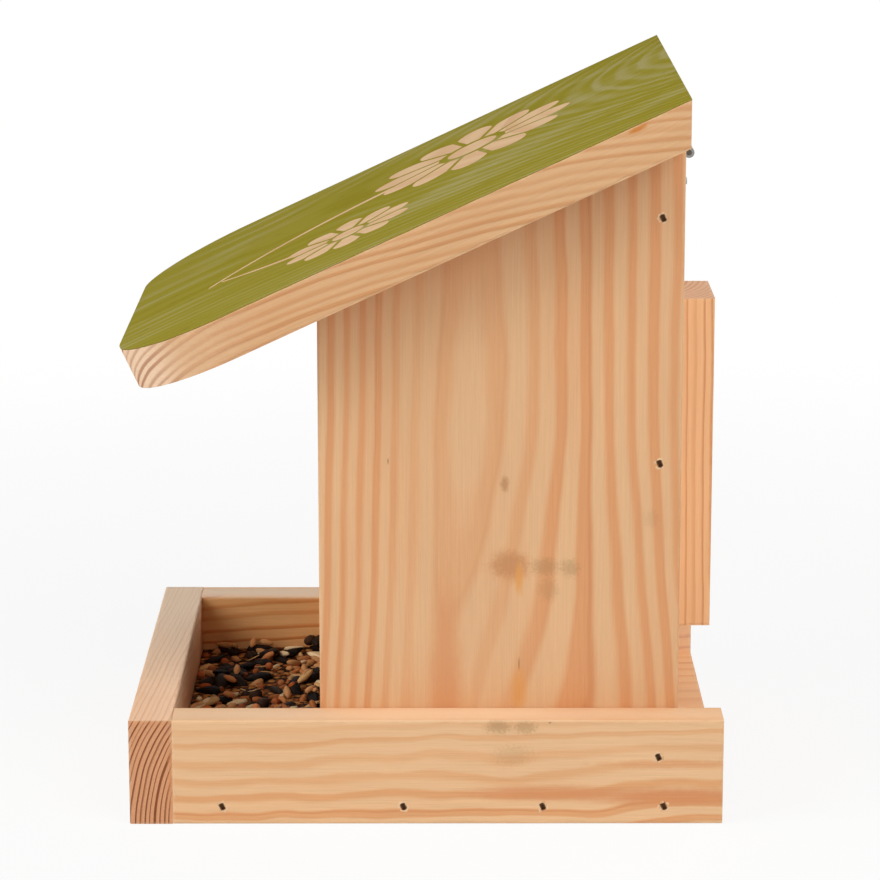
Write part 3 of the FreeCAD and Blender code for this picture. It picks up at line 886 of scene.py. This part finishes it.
@dataclass(frozen=True)
class Backdrop:
    """White studio floor, bright to the camera and in reflections, that keeps the object's shadow."""

    tone: Tone = Tone(236, 236, 234)
    lift: float = 0.87
    shadow_reach: Pair = (0.35, 0.95)

    def material(self, name: str) -> bpy.types.Material:
        """The floor's material, whose glow grows from the lift near the object to full white far from it.

        Args:
            name: what it is called.

        Returns:
            The material.
        """
        sheet = Sheet.named(name)
        spot = sheet.place()
        mottle = sheet.noise(spot, (3.0, 3.0, 3.0), 1.0, 2.0)
        matt = sheet.shader({"Base Color": self.tone, "Roughness": 0.9 + mottle * 0.05,
                             "Specular IOR Level": 0.0})
        glow = sheet.node("ShaderNodeEmission", None, {"Color": WHITE, "Strength": 1.0})
        lift = self.lift + sheet.span(spot).rise(*self.shadow_reach) * (1.0 - self.lift)
        return sheet.blended(sheet.seen() * lift, matt, glow)


def dress(name: str, material: bpy.types.Material) -> None:
    """Puts a material on a CAD node.

    Args:
        name: the node.
        material: what it wears.
    """
    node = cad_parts[name]
    for place in node.material_slots:
        place.material = material
    LOG.info("%s wears %s", name, material.name)


def box_of(name: str) -> Tuple[Triple, Triple]:
    """The corners of a CAD node as plain numbers."""
    low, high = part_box(name)
    return tuple(low), tuple(high)


def plank(node: str, name: str, *cut: Any, **looks: Any) -> None:
    """Dresses a CAD board as pine, from the pine's fields, with the board's own box and brads."""
    dress(node, Pine(*cut, box=box_of(node), brads=brads_in(node), **looks).material(name))


def on_side(face: float, *rows: Row) -> Tuple[Mark, ...]:
    """Marks on a board's side, from rows of kind, y, z, half width, half height and strength."""
    return tuple(
        Mark(kind, (face, y, z), (TICK_DEPTH if kind is Blemish.TICK else MARK_DEPTH, wide, high), share)
        for kind, y, z, wide, high, share in rows)


def ring_faces(rings: int, around: int) -> np.ndarray:
    """Four-sided faces between neighbouring rings of points, which are numbered ring by ring.

    Args:
        rings: how many rings.
        around: points in each.

    Returns:
        One row of four numbers for each face.
    """
    row, col = np.meshgrid(np.arange(rings - 1), np.arange(around), indexing="ij")
    after = (col + 1) % around
    return np.stack([(row + 1) * around + col, (row + 1) * around + after,
                     row * around + after, row * around + col], axis=-1).reshape(-1, 4)


def fan_faces(hub: int, first: int, around: int) -> np.ndarray:
    """Three-sided faces from a hub to a ring of points that starts with the first."""
    spin = np.arange(around)
    return np.stack([np.full(around, hub), first + spin, first + (spin + 1) % around], axis=-1)


def copied(faces: np.ndarray, count: int, points: int) -> np.ndarray:
    """One piece's faces for a count of like pieces, each with so many points."""
    return (faces[None] + (np.arange(count) * points)[:, None, None]).reshape(-1, faces.shape[1])


def made(name: str, points: np.ndarray, faces: Sequence[np.ndarray], body: str,
         material: bpy.types.Material, attributes: Optional[Mapping[str, np.ndarray]] = None) -> None:
    """Puts arrays into a new smooth mesh object that rides on a body.

    Args:
        name: the piece's name.
        points: its points, one row each.
        faces: arrays of faces, each with one number of corners.
        body: the CAD body it rides on.
        material: what it wears.
        attributes: rows per point, of three numbers for a vector and four for a colour.
    """
    mesh = bpy.data.meshes.new(name)
    corners = np.concatenate([rows.ravel() for rows in faces])
    counts = np.concatenate([np.full(len(rows), rows.shape[1]) for rows in faces])
    mesh.vertices.add(len(points))
    mesh.vertices.foreach_set("co", points.astype(np.float32).ravel())
    mesh.loops.add(len(corners))
    mesh.loops.foreach_set("vertex_index", corners.astype(np.int32))
    mesh.polygons.add(len(counts))
    mesh.polygons.foreach_set("loop_start", (np.cumsum(counts) - counts).astype(np.int32))
    mesh.polygons.foreach_set("use_smooth", np.ones(len(counts), dtype=bool))
    for key, rows in (attributes or {}).items():
        vector = rows.shape[1] == 3
        layer = mesh.attributes.new(key, "FLOAT_VECTOR" if vector else "FLOAT_COLOR", "POINT")
        layer.data.foreach_set("vector" if vector else "color", rows.astype(np.float32).ravel())
    mesh.update(calc_edges=True)
    mesh.validate()
    mesh.materials.append(material)
    piece = bpy.data.objects.new(name, mesh)
    bpy.context.scene.collection.objects.link(piece)
    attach(piece, body)
    LOG.info("%s: %d points, %d faces", name, len(points), len(counts))


def brad_heads() -> Tuple[np.ndarray, np.ndarray]:
    """Where each brad that shows went in.

    Returns:
        Points on the wood's face over the heads, and the ways out of the wood.
    """
    spots, ways = [], []
    for name, count in SEEN_BRADS.items():
        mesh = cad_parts[name].data
        points = np.empty(len(mesh.vertices) * 3)
        mesh.vertices.foreach_get("co", points)
        brads = points.reshape(count, -1, 3)
        low, high = brads.min(axis=1), brads.max(axis=1)
        middle = (low + high) / 2.0
        axis = np.argmax(high - low, axis=1)
        rows = np.arange(count)
        way = np.zeros_like(middle)
        way[rows, axis] = np.sign(middle[rows, axis])
        reach = (high - low)[rows, axis] / 2.0 + BRAD_SINK
        spots.append(middle + way * reach[:, None])
        ways.append(way)
    return np.concatenate(spots), np.concatenate(ways)


def brads_in(name: str) -> Tuple[Triple, ...]:
    """The brads that went in through the side of a board.

    Args:
        name: the CAD node.

    Returns:
        Points on the board's face.
    """
    spots, ways = brad_heads()
    low, high = (np.array(corner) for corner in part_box(name))
    inside = ((spots > low - BRAD_SLACK) & (spots < high + BRAD_SLACK)).all(axis=1)
    return tuple(tuple(spot) for spot in spots[inside & (ways[:, 0] != 0.0)].tolist())


@dataclass
class Tray:
    """Three rails round a floor board."""

    pale: PineTones = PineTones(early=Tone(229, 187, 142), late=Tone(220, 162, 111), dark=Tone(208, 141, 90))
    # Far rail: tones made warmer and more saturated as painted shade and bounce light for its face inside the
    # tray
    warm: PineTones = PineTones(early=Tone(252, 190, 124), late=Tone(232, 146, 76), dark=Tone(206, 122, 60))
    # Front rail: tones made paler as painted light, making up for the light that the roof keeps off its top
    front: PineTones = PineTones(
        early=Tone(250, 217, 184), late=Tone(236, 193, 154), dark=Tone(214, 160, 118),
        end_early=Tone(214, 154, 112), end_late=Tone(128, 68, 30))
    floor: PineTones = PineTones(early=Tone(246, 196, 146), late=Tone(234, 170, 118), dark=Tone(214, 144, 94))
    rail_year: float = 0.0070
    front_year: float = 0.0020

    def dress(self) -> None:
        """Gives each board its own piece of pine."""
        near_marks = on_side(
            RAIL_FACE,
            (Blemish.SMUDGE, 0.030, 0.0422, 0.008, 0.0040, 0.50),
            (Blemish.SMUDGE, 0.041, 0.0420, 0.007, 0.0038, 0.45),
            (Blemish.SMUDGE, 0.036, 0.0300, 0.012, 0.0060, 0.22),
            (Blemish.TICK, 0.0513, 0.0440, 0.0009, 0.0005, 0.6))
        near_bands = on_side(
            RAIL_FACE, (Blemish.BAND, 0.0480, 0.0135, 0.0440, 0.0050, 0.80),
            (Blemish.BAND, 0.1050, 0.0118, 0.0560, 0.0056, 0.95),
            (Blemish.WARM, 0.1000, 0.0260, 0.0400, 0.0026, 0.40))
        # Painted light: the near rail's top is made paler, as if lit from above
        near_top = Mark(Blemish.PAINTED_LIGHT, (0.0955, 0.0000, 0.0450), (0.012, 0.2000, 0.0012), 0.33)
        plank("side_rail_right", "near_rail_pine",
              Grain.FRONT_TO_BACK, (0.098, -0.040), (0.0, 0.018), self.rail_year, 3.0, phase=0.93, uneven=0.4,
              waver=0.0155, contrast=1.2, onset=0.26, full=0.66, fall=0.22, bold=(0.080, 0.045), gain=1.0,
              tones=self.pale, marks=(*near_marks, near_top, *near_bands))
        # Far rail: the warm tones paint the shaded, bounce-lit inside of the tray; the pale marks paint light
        # on its top and on its lit end behind the back panel
        plank("side_rail_left", "far_rail_pine",
              Grain.FRONT_TO_BACK, (-0.090, 0.110), (0.01, 0.03), 0.0056, 8.0, waver=0.0070, contrast=1.1,
              tones=self.warm, marks=(
                  Mark(Blemish.PAINTED_LIGHT, (-0.0955, 0.0000, 0.0450), (0.016, 0.3000, 0.0012), 0.92),
                  Mark(Blemish.PAINTED_LIGHT, (-0.0865, 0.1250, 0.0250), (0.020, 0.0450, 0.0500), 0.50)))
        # Front rail: the warm mark on its inner face is painted bounce light, and the pale mark paints light
        # on the far end of its top
        plank("front_rail", "front_rail_pine",
              Grain.SIDE_TO_SIDE, (-0.0277, -0.002), (-0.07, 0.01), self.front_year, 12.0, uneven=0.9,
              waver=0.0030, onset=0.34, tones=self.front,
              marks=(Mark(Blemish.WARM, (0.0, -0.1055, 0.0200), (0.300, 0.0030, 0.0300), 0.85),
                     Mark(Blemish.PAINTED_LIGHT, (-0.0900, -0.1180, 0.0450), (0.130, 0.0300, 0.0030), 0.65),
                     Mark(Blemish.WARM, (RAIL_FACE, -0.1180, 0.0450), (0.110, 0.0300, 0.0030), 0.26)))
        plank("floor_board", "floor_pine",
              Grain.FRONT_TO_BACK, (0.012, -0.040), (0.03, 0.01), 0.0080, 16.0, waver=0.0060, onset=0.30,
              fall=0.20, tones=self.floor)


@dataclass
class Hopper:
    """Two side panels, the back panel with its batten, and the clear front."""

    panel_year: float = 0.00672
    panel_heart: Pair = (0.0612, 0.00735)
    panel_drift: Pair = (-0.0117, 0.0331)
    panel_parting: Parting = Parting((PANEL_FACE, 0.0623, -0.0400), (1.0, 0.0810, 0.2435),
                                     (0.0, 1.0, 0.0), -0.0574)
    # Batten: tones made paler as painted light, making up for the light that the hopper keeps off its side
    batten: PineTones = PineTones(
        early=Tone(254, 202, 150), late=Tone(228, 161, 108), dark=Tone(200, 130, 82),
        end_early=Tone(234, 192, 158), end_late=Tone(208, 158, 120))

    def near_marks(self) -> Tuple[Mark, ...]:
        """The knot, resin and smudges on the near panel.

        Returns:
            One mark for each row.
        """
        return on_side(
            PANEL_FACE,
            (Blemish.KNOT, 0.0325, 0.1414, 0.0026, 0.0046, 0.52),
            (Blemish.WARM, 0.0350, 0.1066, 0.0120, 0.0090, 0.80),
            (Blemish.SMUDGE, 0.0345, 0.1070, 0.0105, 0.0078, 0.34),
            (Blemish.SMUDGE, 0.0495, 0.1060, 0.0078, 0.0056, 0.42),
            (Blemish.SMUDGE, 0.0600, 0.1055, 0.0056, 0.0054, 0.40),
            (Blemish.SMUDGE, 0.0507, 0.0965, 0.0060, 0.0070, 0.26),
            (Blemish.BAND, 0.0080, 0.0480, 0.0105, 0.0680, 0.75),
            (Blemish.RESIN, 0.0388, 0.1010, 0.0024, 0.0100, 0.75),
            (Blemish.RESIN, 0.0390, 0.0530, 0.0048, 0.0130, 0.60),
            (Blemish.TICK, 0.0388, 0.0640, 0.0005, 0.0040, 0.45),
            (Blemish.TICK, -0.0156, 0.1512, 0.0004, 0.0018, 0.55),
            (Blemish.SMUDGE, 0.0936, 0.1265, 0.0042, 0.0060, 0.16))

    def dress(self) -> None:
        """Gives each board its own piece of pine, and the front its clear sheet."""
        plank("side_panel_right", "near_panel_pine",
              Grain.UPRIGHT, self.panel_heart, self.panel_drift, self.panel_year, 20.0, phase=0.432,
              uneven=0.20, waver=0.0034, contrast=1.15, onset=0.24, full=0.62, fall=0.24, bow=(0.0, -0.0996),
              bow_at=0.10, skew=(0.0, 0.2031), bold=(0.028, 0.060), gain=1.0, partings=(self.panel_parting,),
              marks=self.near_marks())
        plank("side_panel_left", "far_panel_pine",
              Grain.UPRIGHT, (-0.040, 0.046), (-0.02, 0.05), 0.0066, 24.0, waver=0.0046,
              marks=(Mark(Blemish.KNOT, (-PANEL_FACE, 0.008, 0.118), (0.006, 0.0040, 0.0062), 0.75),
                     Mark(Blemish.RESIN, (-PANEL_FACE, 0.066, 0.176), (0.004, 0.0026, 0.0120), 0.6)))
        plank("back_panel", "back_panel_pine",
              Grain.UPRIGHT, (0.022, 0.062), (0.03, 0.02), 0.0058, 28.0, waver=0.0040,
              marks=(Mark(Blemish.KNOT, (-0.046, 0.1055, 0.090), (0.0060, 0.006, 0.0085), 0.8),
                     Mark(Blemish.SMUDGE, (0.040, 0.1055, 0.060), (0.012, 0.004, 0.008), 0.25)))
        plank("wall_batten", "batten_pine",
              Grain.UPRIGHT, (-0.030, 0.062), (0.01, -0.02), 0.0026, 33.0, waver=0.0026, contrast=0.85,
              tones=self.batten)
        dress("front_pane", Acrylic().material("clear_acrylic_sheet"))


@dataclass
class Roof:
    """The stained roof board with its bare flower motif."""

    flowers: Tuple[Daisy, ...] = (
        Daisy((-0.030, 0.130), 0.047, 12, 0.3),
        Daisy((0.050, 0.072), 0.029, 10, 0.0),
    )
    stems: Tuple[Stem, ...] = (
        Stem((-0.018, 0.092), (-0.006, 0.050), (0.026, 0.006), 0.0042),
        Stem((0.044, 0.046), (0.036, 0.030), (0.024, 0.012), 0.0032),
    )
    tones: PineTones = PineTones(
        early=Tone(219, 176, 132), late=Tone(205, 150, 104), dark=Tone(186, 124, 80),
        end_early=Tone(240, 204, 172), end_late=Tone(176, 118, 84))
    marks: Tuple[Mark, ...] = (
        Mark(Blemish.GUM, (0.114, 0.2000, ROOF_TOP - 0.0018), (0.003, 0.0060, 0.0016), 0.8),
        # Painted light: a paler patch on the near side's front end
        Mark(Blemish.PAINTED_LIGHT, (0.100, -0.0200, ROOF_TOP - 0.0090), (0.040, 0.0700, 0.0300), 0.20),
    )

    def dress(self) -> None:
        """Gives the roof its stain."""
        dress("roof_board", StainedPine(
            Grain.FRONT_TO_BACK, (-0.045, 0.510), (0.03, 0.0), 0.0034, 41.0, waver=0.0040, uneven=0.7,
            bow=(0.0, -0.75), bow_at=0.01, onset=0.06, full=0.66, fall=0.30, tones=self.tones,
            marks=self.marks, turn=-ROOF_PITCH, box=ROOF_BOX, top=ROOF_TOP, flowers=self.flowers,
            stems=self.stems).material("stained_roof_pine"))


@dataclass
class Fixings:
    """Hinges, screws and brads, and the torn wood round each brad."""

    rim_inner: float = 0.00165
    rim_outer: float = 0.0031
    rim_rise: float = 0.00022
    rim_sink: float = 0.00003
    around: int = 28
    out: int = 5

    def dress(self) -> None:
        """Plates the hinges and screws and darkens the brads."""
        zinc = Zinc().material("zinc_plate")
        bright = Zinc(Tone(164, 162, 158), 6.0).material("screw_zinc")
        # The pins' dark brown-grey is partly painted shade for the shaded ends of the hinge barrels
        worn = Zinc(Tone(98, 92, 82), 9.0).material("pin_steel")
        for side in ("right", "left"):
            for part, finish in (("back_leaf", zinc), ("roof_leaf", zinc), ("pin", worn)):
                dress(f"hinge_{side}_{part}", finish)
        for name in ("roof_leaf_screws", "back_leaf_screws"):
            dress(name, bright)
        wire = Brad().material("brad_wire")
        for name in (*SEEN_BRADS, "foot_brads", "batten_brads"):
            dress(name, wire)

    def build_rims(self) -> None:
        """Adds the torn, pale rims that the brads left in the wood.

        Over the angle and the distance from a brad, the height is a low dome of the distance times lumps made
        of sines of the angle, which differ from brad to brad, and it runs out to nothing at the outer edge.
        """
        rng = np.random.default_rng(RIM_SEED)
        spots, ways = brad_heads()
        angle = np.linspace(0.0, WHOLE_TURN, self.around, endpoint=False)
        step = np.linspace(0.0, 1.0, self.out)
        count = len(spots)
        beats = rng.integers(2, 9, (count, 4, 1))
        shift = rng.uniform(0.0, WHOLE_TURN, (count, 4, 1))
        lumps = np.sin(beats * angle + shift).mean(axis=1)
        reach = self.rim_inner + (self.rim_outer - self.rim_inner) * (0.55 + 0.45 * lumps)[:, :, None] * step
        dome = np.sin(math.pi * np.clip(step * 0.8 + 0.2, 0.0, 1.0))
        height = self.rim_rise * (0.35 + np.clip(lumps, -0.3, 1.0))[:, :, None] * dome - self.rim_sink
        aside = np.where(np.abs(ways[:, [2]]) > 0.5, [[1.0, 0.0, 0.0]], [[0.0, 0.0, 1.0]])
        over = np.cross(ways, aside)
        flat = (np.cos(angle)[None, :, None, None] * aside[:, None, None, :]
                + np.sin(angle)[None, :, None, None] * over[:, None, None, :])
        points = (spots[:, None, None, :] + flat * reach[..., None]
                  + ways[:, None, None, :] * height[..., None]).swapaxes(1, 2)
        quads = copied(ring_faces(self.out, self.around), count, self.around * self.out)
        torn = Pine(Grain.UPRIGHT, (0.0, 0.0), (0.0, 0.0), 0.004, 51.0, tones=PineTones(
            early=Tone(230, 194, 154), late=Tone(214, 168, 124)))
        made("torn_rims", points.reshape(-1, 3), [quads], "feeder", torn.material("torn_pine"))


@dataclass(frozen=True)
class SeedKind:
    """One kind of seed: its size, how pointed and bent it is, its share of the mix, coat and tones."""

    name: str
    length: float
    width: float
    thick: float
    point: float
    bend: float
    share: float
    coat: SeedCoat
    tones: Tuple[Tone, ...]

    def shape(self, around: int = 8, rows: int = 6) -> Tuple[np.ndarray, np.ndarray, np.ndarray]:
        """One seed at the origin.

        Over the angle round it and the angle from tip to tip, the length follows the cosine and the girth the
        sine of the second angle, thinned towards one tip; the middle is bent by the square of the length.

        Args:
            around: points round it.
            rows: rows from tip to tip.

        Returns:
            Its points on a unit scale, its four-sided faces and its three-sided faces.
        """
        turn = np.linspace(0.0, WHOLE_TURN, around, endpoint=False)
        fall = np.linspace(0.0, math.pi, rows)[1:-1]
        girth = np.sin(fall) * (1.0 - self.point * np.cos(fall))
        girth = girth / girth.max()
        x = np.repeat(np.cos(fall)[:, None], around, axis=1)
        y = girth[:, None] * np.cos(turn)[None, :]
        z = girth[:, None] * np.sin(turn)[None, :]
        body = np.stack([x, y, z], axis=-1).reshape(-1, 3)
        points = np.concatenate([body, [[1.0, 0.0, 0.0]], [[-1.0, 0.0, 0.0]]])
        points[:, 2] += self.bend * (points[:, 0] ** 2 - 0.5)
        tips = np.concatenate([fan_faces(len(body), 0, around),
                               fan_faces(len(body) + 1, len(body) - around, around)[:, ::-1]])
        return points, ring_faces(len(fall), around), tips


DARK_COAT = SeedCoat(Tone(78, 64, 54), 0.3, 0.55)
HUSK_COAT = SeedCoat(Tone(228, 188, 134), 0.7, 0.55)
GRAIN_COAT = SeedCoat(Tone(196, 136, 84), 0.5, 0.55)
ROUND_COAT = SeedCoat(Tone(190, 120, 70), 0.35, 0.45)


@dataclass
class SeedFill:
    """Loose seed in the tray and in the foot of the hopper, dropped grain by grain on a height field."""

    # The floor's height, the two zones, each with its ends along Y and its half width, and the bed's depths
    floor: float = 0.018
    front: Triple = (-0.1052, -0.0446, 0.0860)
    back: Triple = (-0.0446, 0.0870, 0.0680)
    depths: Triple = (0.0015, 0.0035, 0.0080)
    # The height field's cell, and the fewest cells under a seed
    cell: float = 0.0008
    fewest: int = 4
    tray_count: int = 340
    hopper_count: int = 620
    sizes: Pair = (0.86, 1.10)
    sunk: float = 0.0012
    margin: float = 0.001
    slack: float = 0.0003
    clear: float = 0.0002
    rest_share: float = 42.0
    most_lean: float = 0.45
    lean_spread: float = 0.08
    roll_spread: float = 0.25
    tone_spread: Pair = (0.8, 1.2)
    noise_shift: float = 40.0
    kinds: Tuple[SeedKind, ...] = (
        SeedKind("sunflower_seed", 0.0138, 0.0068, 0.0042, 0.55, 0.0, 0.15, DARK_COAT,
                 (Tone(34, 25, 20), Tone(24, 18, 15), Tone(46, 34, 27))),
        SeedKind("oat_grain", 0.0104, 0.0034, 0.0028, 0.20, 0.12, 0.20, HUSK_COAT,
                 (Tone(216, 166, 108), Tone(192, 136, 82), Tone(242, 212, 164))),
        SeedKind("wheat_grain", 0.0070, 0.0032, 0.0028, 0.10, 0.05, 0.34, GRAIN_COAT,
                 (Tone(202, 130, 78), Tone(176, 104, 58), Tone(218, 156, 102))),
        SeedKind("maize_crumb", 0.0060, 0.0044, 0.0036, 0.30, 0.10, 0.04, ROUND_COAT,
                 (Tone(212, 112, 40), Tone(222, 164, 66), Tone(190, 92, 34))),
        SeedKind("milo_seed", 0.0038, 0.0037, 0.0033, 0.05, 0.0, 0.10, ROUND_COAT,
                 (Tone(190, 104, 58), Tone(160, 84, 46), Tone(206, 128, 78))),
        SeedKind("vetch_seed", 0.0064, 0.0058, 0.0048, 0.0, 0.0, 0.03, DARK_COAT,
                 (Tone(72, 46, 30), Tone(54, 36, 26))),
        SeedKind("husk_curl", 0.0085, 0.0026, 0.0006, 0.10, 1.4, 0.18, HUSK_COAT,
                 (Tone(226, 178, 122), Tone(200, 148, 94))),
    )

    def bed(self, y: np.ndarray) -> np.ndarray:
        """The bed's height over the floor: straight from the front to the mouth and on to the back."""
        return np.interp(y, [self.front[0], self.front[1], self.back[1]], self.depths)

    def drop(self) -> Dict[str, np.ndarray]:
        """Drops the seeds one by one.

        Each comes down flat at a chance place and angle, rests on the middle of the heights under it, leans
        with their slope, and raises them by its own dome.

        Returns:
            For each kind, rows of x, y, z, turn, lean along, lean across and size.
        """
        rng = np.random.default_rng(DROP_SEED)
        low = np.array([-self.front[2], self.front[0]])
        high = np.array([self.front[2], self.back[1]])
        xs = np.arange(low[0], high[0], self.cell)
        ys = np.arange(low[1], high[1], self.cell)
        heights = np.repeat((self.floor + self.bed(ys) - self.sunk)[None, :], len(xs), axis=0)
        wall = (np.abs(xs)[:, None] > self.back[2]) & (ys[None, :] > self.front[1])
        shares = np.array([kind.share for kind in self.kinds])
        rows: Dict[str, List[Tuple[float, ...]]] = {kind.name: [] for kind in self.kinds}
        for zone, count in ((self.front, self.tray_count), (self.back, self.hopper_count)):
            for pick in rng.choice(len(self.kinds), count, p=shares / shares.sum()):
                kind = self.kinds[pick]
                size = rng.uniform(*self.sizes)
                reach = kind.length * size / 2.0
                x = rng.uniform(-zone[2] + self.margin, zone[2] - self.margin)
                y = rng.uniform(zone[0] + self.margin, zone[1] - self.margin)
                turn = rng.uniform(0.0, WHOLE_TURN)
                c, s = math.cos(turn), math.sin(turn)
                span_x = max(abs(c) * reach, abs(s) * kind.width / 2.0) + self.slack
                span_y = max(abs(s) * reach, abs(c) * kind.width / 2.0) + self.slack
                x = float(np.clip(x, -zone[2] + span_x, zone[2] - span_x))
                y = float(np.clip(y, low[1] + span_y, high[1] - span_y))
                i0, i1 = np.searchsorted(xs, [x - reach, x + reach])
                j0, j1 = np.searchsorted(ys, [y - reach, y + reach])
                gx, gy = np.meshgrid(xs[i0:i1] - x, ys[j0:j1] - y, indexing="ij")
                along = (gx * c + gy * s) / reach
                across = (gy * c - gx * s) / (kind.width * size / 2.0)
                inside = along ** 2 + across ** 2 < 1.0
                if inside.sum() < self.fewest or (wall[i0:i1, j0:j1] & inside).any():
                    continue
                window = heights[i0:i1, j0:j1]
                under = window[inside]
                base = float(np.percentile(under, self.rest_share))
                centred = under - under.mean()
                slope = (centred * along[inside]).sum() / ((along[inside] ** 2).sum() * reach + TINY)
                lean = float(np.clip(slope, -self.most_lean, self.most_lean))
                lean += rng.normal(0.0, self.lean_spread)
                roll = rng.normal(0.0, self.roll_spread)
                half = kind.thick * size / 2.0
                rows[kind.name].append((x, y, base + half, turn, lean, roll, size))
                dome = base + half * (1.0 + np.sqrt(np.clip(1.0 - along ** 2 - across ** 2, 0.0, 1.0)))
                window[inside] = np.maximum(window[inside], dome[inside])
        return {name: np.array(found) for name, found in rows.items()}

    def build(self) -> None:
        """Adds one piece for each kind of seed."""
        rng = np.random.default_rng(TONE_SEED)
        coats = {coat: coat.material(name) for name, coat in
                 (("dark_seed_coat", DARK_COAT), ("husk_coat", HUSK_COAT), ("brown_grain_coat", GRAIN_COAT),
                  ("round_seed_coat", ROUND_COAT))}
        dropped = self.drop()
        for kind in self.kinds:
            rows = dropped[kind.name]
            shape, quads, tips = kind.shape()
            half = np.array([kind.length, kind.width, kind.thick]) / 2.0
            local = shape[None] * half * rows[:, 6, None, None]
            points = self.turned(local, rows[:, 3], rows[:, 4], rows[:, 5]) + rows[:, None, :3]
            points[..., 2] = np.maximum(points[..., 2], self.floor + self.clear)
            picks = rng.integers(0, len(kind.tones), len(rows))
            tones = np.array([tone.linear for tone in kind.tones])[picks]
            tones[:, :3] *= rng.uniform(*self.tone_spread, (len(rows), 1))
            faces = [copied(each, len(rows), len(shape)) for each in (quads, tips)]
            shift = rng.uniform(-self.noise_shift, self.noise_shift, (len(rows), 1, 3))
            made(kind.name, points.reshape(-1, 3), faces, "feeder", coats[kind.coat],
                 {"tone": np.repeat(tones, len(shape), axis=0),
                  "local": (shape[None] + shift).reshape(-1, 3)})
        dress("seed_bed", SeedBed().material("small_grain"))

    @staticmethod
    def turned(local: np.ndarray, turn: np.ndarray, lean: np.ndarray, roll: np.ndarray) -> np.ndarray:
        """Points rolled about their length, leaned, and turned about the upright.

        Args:
            local: seeds, points and parts.
            turn: angle about the upright for each seed.
            lean: slope along each seed.
            roll: angle about each seed's length.

        Returns:
            The points in the same order.
        """
        parts = [local[..., axis] for axis in range(3)]
        for angle, i, j in ((roll, 1, 2), (lean, 0, 2), (turn, 0, 1)):
            c, s = np.cos(angle)[:, None], np.sin(angle)[:, None]
            parts[i], parts[j] = parts[i] * c - parts[j] * s, parts[i] * s + parts[j] * c
        return np.stack(parts, axis=-1)


@dataclass
class Studio:
    """White floor and sky, lamps, each of them a name, a place, a size and watts, and the camera."""

    floor_rings: Tuple[float, ...] = (0.5, 2.0, 8.0, 40.0)
    floor_sides: int = 48
    floor_drop: float = -0.0002
    lamps: Tuple[Tuple[str, Triple, float, float], ...] = (
        ("key", (1.05, 0.85, 1.42), 1.3, 20.0),
        ("front", (0.75, -1.45, 1.05), 1.2, 22.0),
        ("rear", (-0.90, 1.20, 1.10), 1.2, 5.0),
    )
    lamp_aim: Triple = (0.0, 0.0, 0.12)
    sky: float = 0.208
    camera_at: Triple = (1.48870, 0.00463, 0.48266)
    pitch: float = 0.2261
    yaw: float = 0.00086
    roll: float = -0.00042
    lens: float = 142.898
    sensor: float = 36.0
    clip: Pair = (0.05, 200.0)

    def build_floor(self) -> None:
        """Adds the floor as a flat grid from a radius and an angle."""
        radius, sides = np.array(self.floor_rings), self.floor_sides
        turn = np.linspace(0.0, WHOLE_TURN, sides, endpoint=False)
        flat = np.stack([radius[:, None] * np.cos(turn), radius[:, None] * np.sin(turn),
                         np.full((len(radius), sides), self.floor_drop)], axis=-1).reshape(-1, 3)
        points = np.concatenate([flat, [[0.0, 0.0, self.floor_drop]]])
        quads = ring_faces(len(radius), sides)
        hub = fan_faces(len(flat), 0, sides)
        mesh = bpy.data.meshes.new("studio_floor")
        mesh.from_pydata(points.tolist(), [], quads.tolist() + hub.tolist())
        mesh.materials.append(Backdrop().material("white_floor"))
        floor = bpy.data.objects.new("studio_floor", mesh)
        bpy.context.scene.collection.objects.link(floor)

    def build_sky(self) -> None:
        """Lights the scene evenly, white where the sky itself is seen."""
        world = bpy.data.worlds.new("studio")
        sheet = Sheet(world)
        level = self.sky + sheet.seen() * (1.0 - self.sky)
        back = sheet.node("ShaderNodeBackground", None, {"Color": WHITE, "Strength": level})
        sheet.node("ShaderNodeOutputWorld", None, {"Surface": back})
        bpy.context.scene.world = world

    def build_lamps(self) -> None:
        """Adds the square lamps, turned towards the feeder."""
        for name, at, size, power in self.lamps:
            light = bpy.data.lights.new(name, "AREA")
            light.shape, light.size, light.energy = "SQUARE", size, power
            lamp = bpy.data.objects.new(name, light)
            lamp.location = at
            lamp.rotation_euler = (Vector(self.lamp_aim) - Vector(at)).to_track_quat("-Z", "Y").to_euler()
            bpy.context.scene.collection.objects.link(lamp)

    def build_camera(self) -> None:
        """Adds the camera where the photograph was taken from."""
        ahead = Vector((-math.cos(self.pitch) * math.cos(self.yaw), math.cos(self.pitch) * math.sin(self.yaw),
                        -math.sin(self.pitch)))
        right = Vector((math.sin(self.yaw), math.cos(self.yaw), 0.0))
        up = right.cross(ahead)
        right, up = (right * math.cos(self.roll) + up * math.sin(self.roll),
                     up * math.cos(self.roll) - right * math.sin(self.roll))
        data = bpy.data.cameras.new("camera")
        data.sensor_fit, data.sensor_width, data.lens = "HORIZONTAL", self.sensor, self.lens
        data.clip_start, data.clip_end = self.clip
        camera = bpy.data.objects.new("camera", data)
        turn = Matrix((right, up, -ahead)).transposed().to_4x4()
        camera.matrix_world = Matrix.Translation(Vector(self.camera_at)) @ turn
        bpy.context.scene.collection.objects.link(camera)
        bpy.context.scene.camera = camera

    def build(self) -> None:
        """Sets the stage."""
        bpy.context.scene.view_settings.view_transform = "Standard"
        self.build_floor()
        self.build_sky()
        self.build_lamps()
        self.build_camera()


def main() -> None:
    """Builds the sub-assemblies in order."""
    logging.basicConfig(level=logging.INFO, format="%(name)s %(message)s")
    Tray().dress()
    Hopper().dress()
    Roof().dress()
    fixings = Fixings()
    fixings.dress()
    fixings.build_rims()
    SeedFill().build()
    Studio().build()


if __name__ == "__main__":
    main()
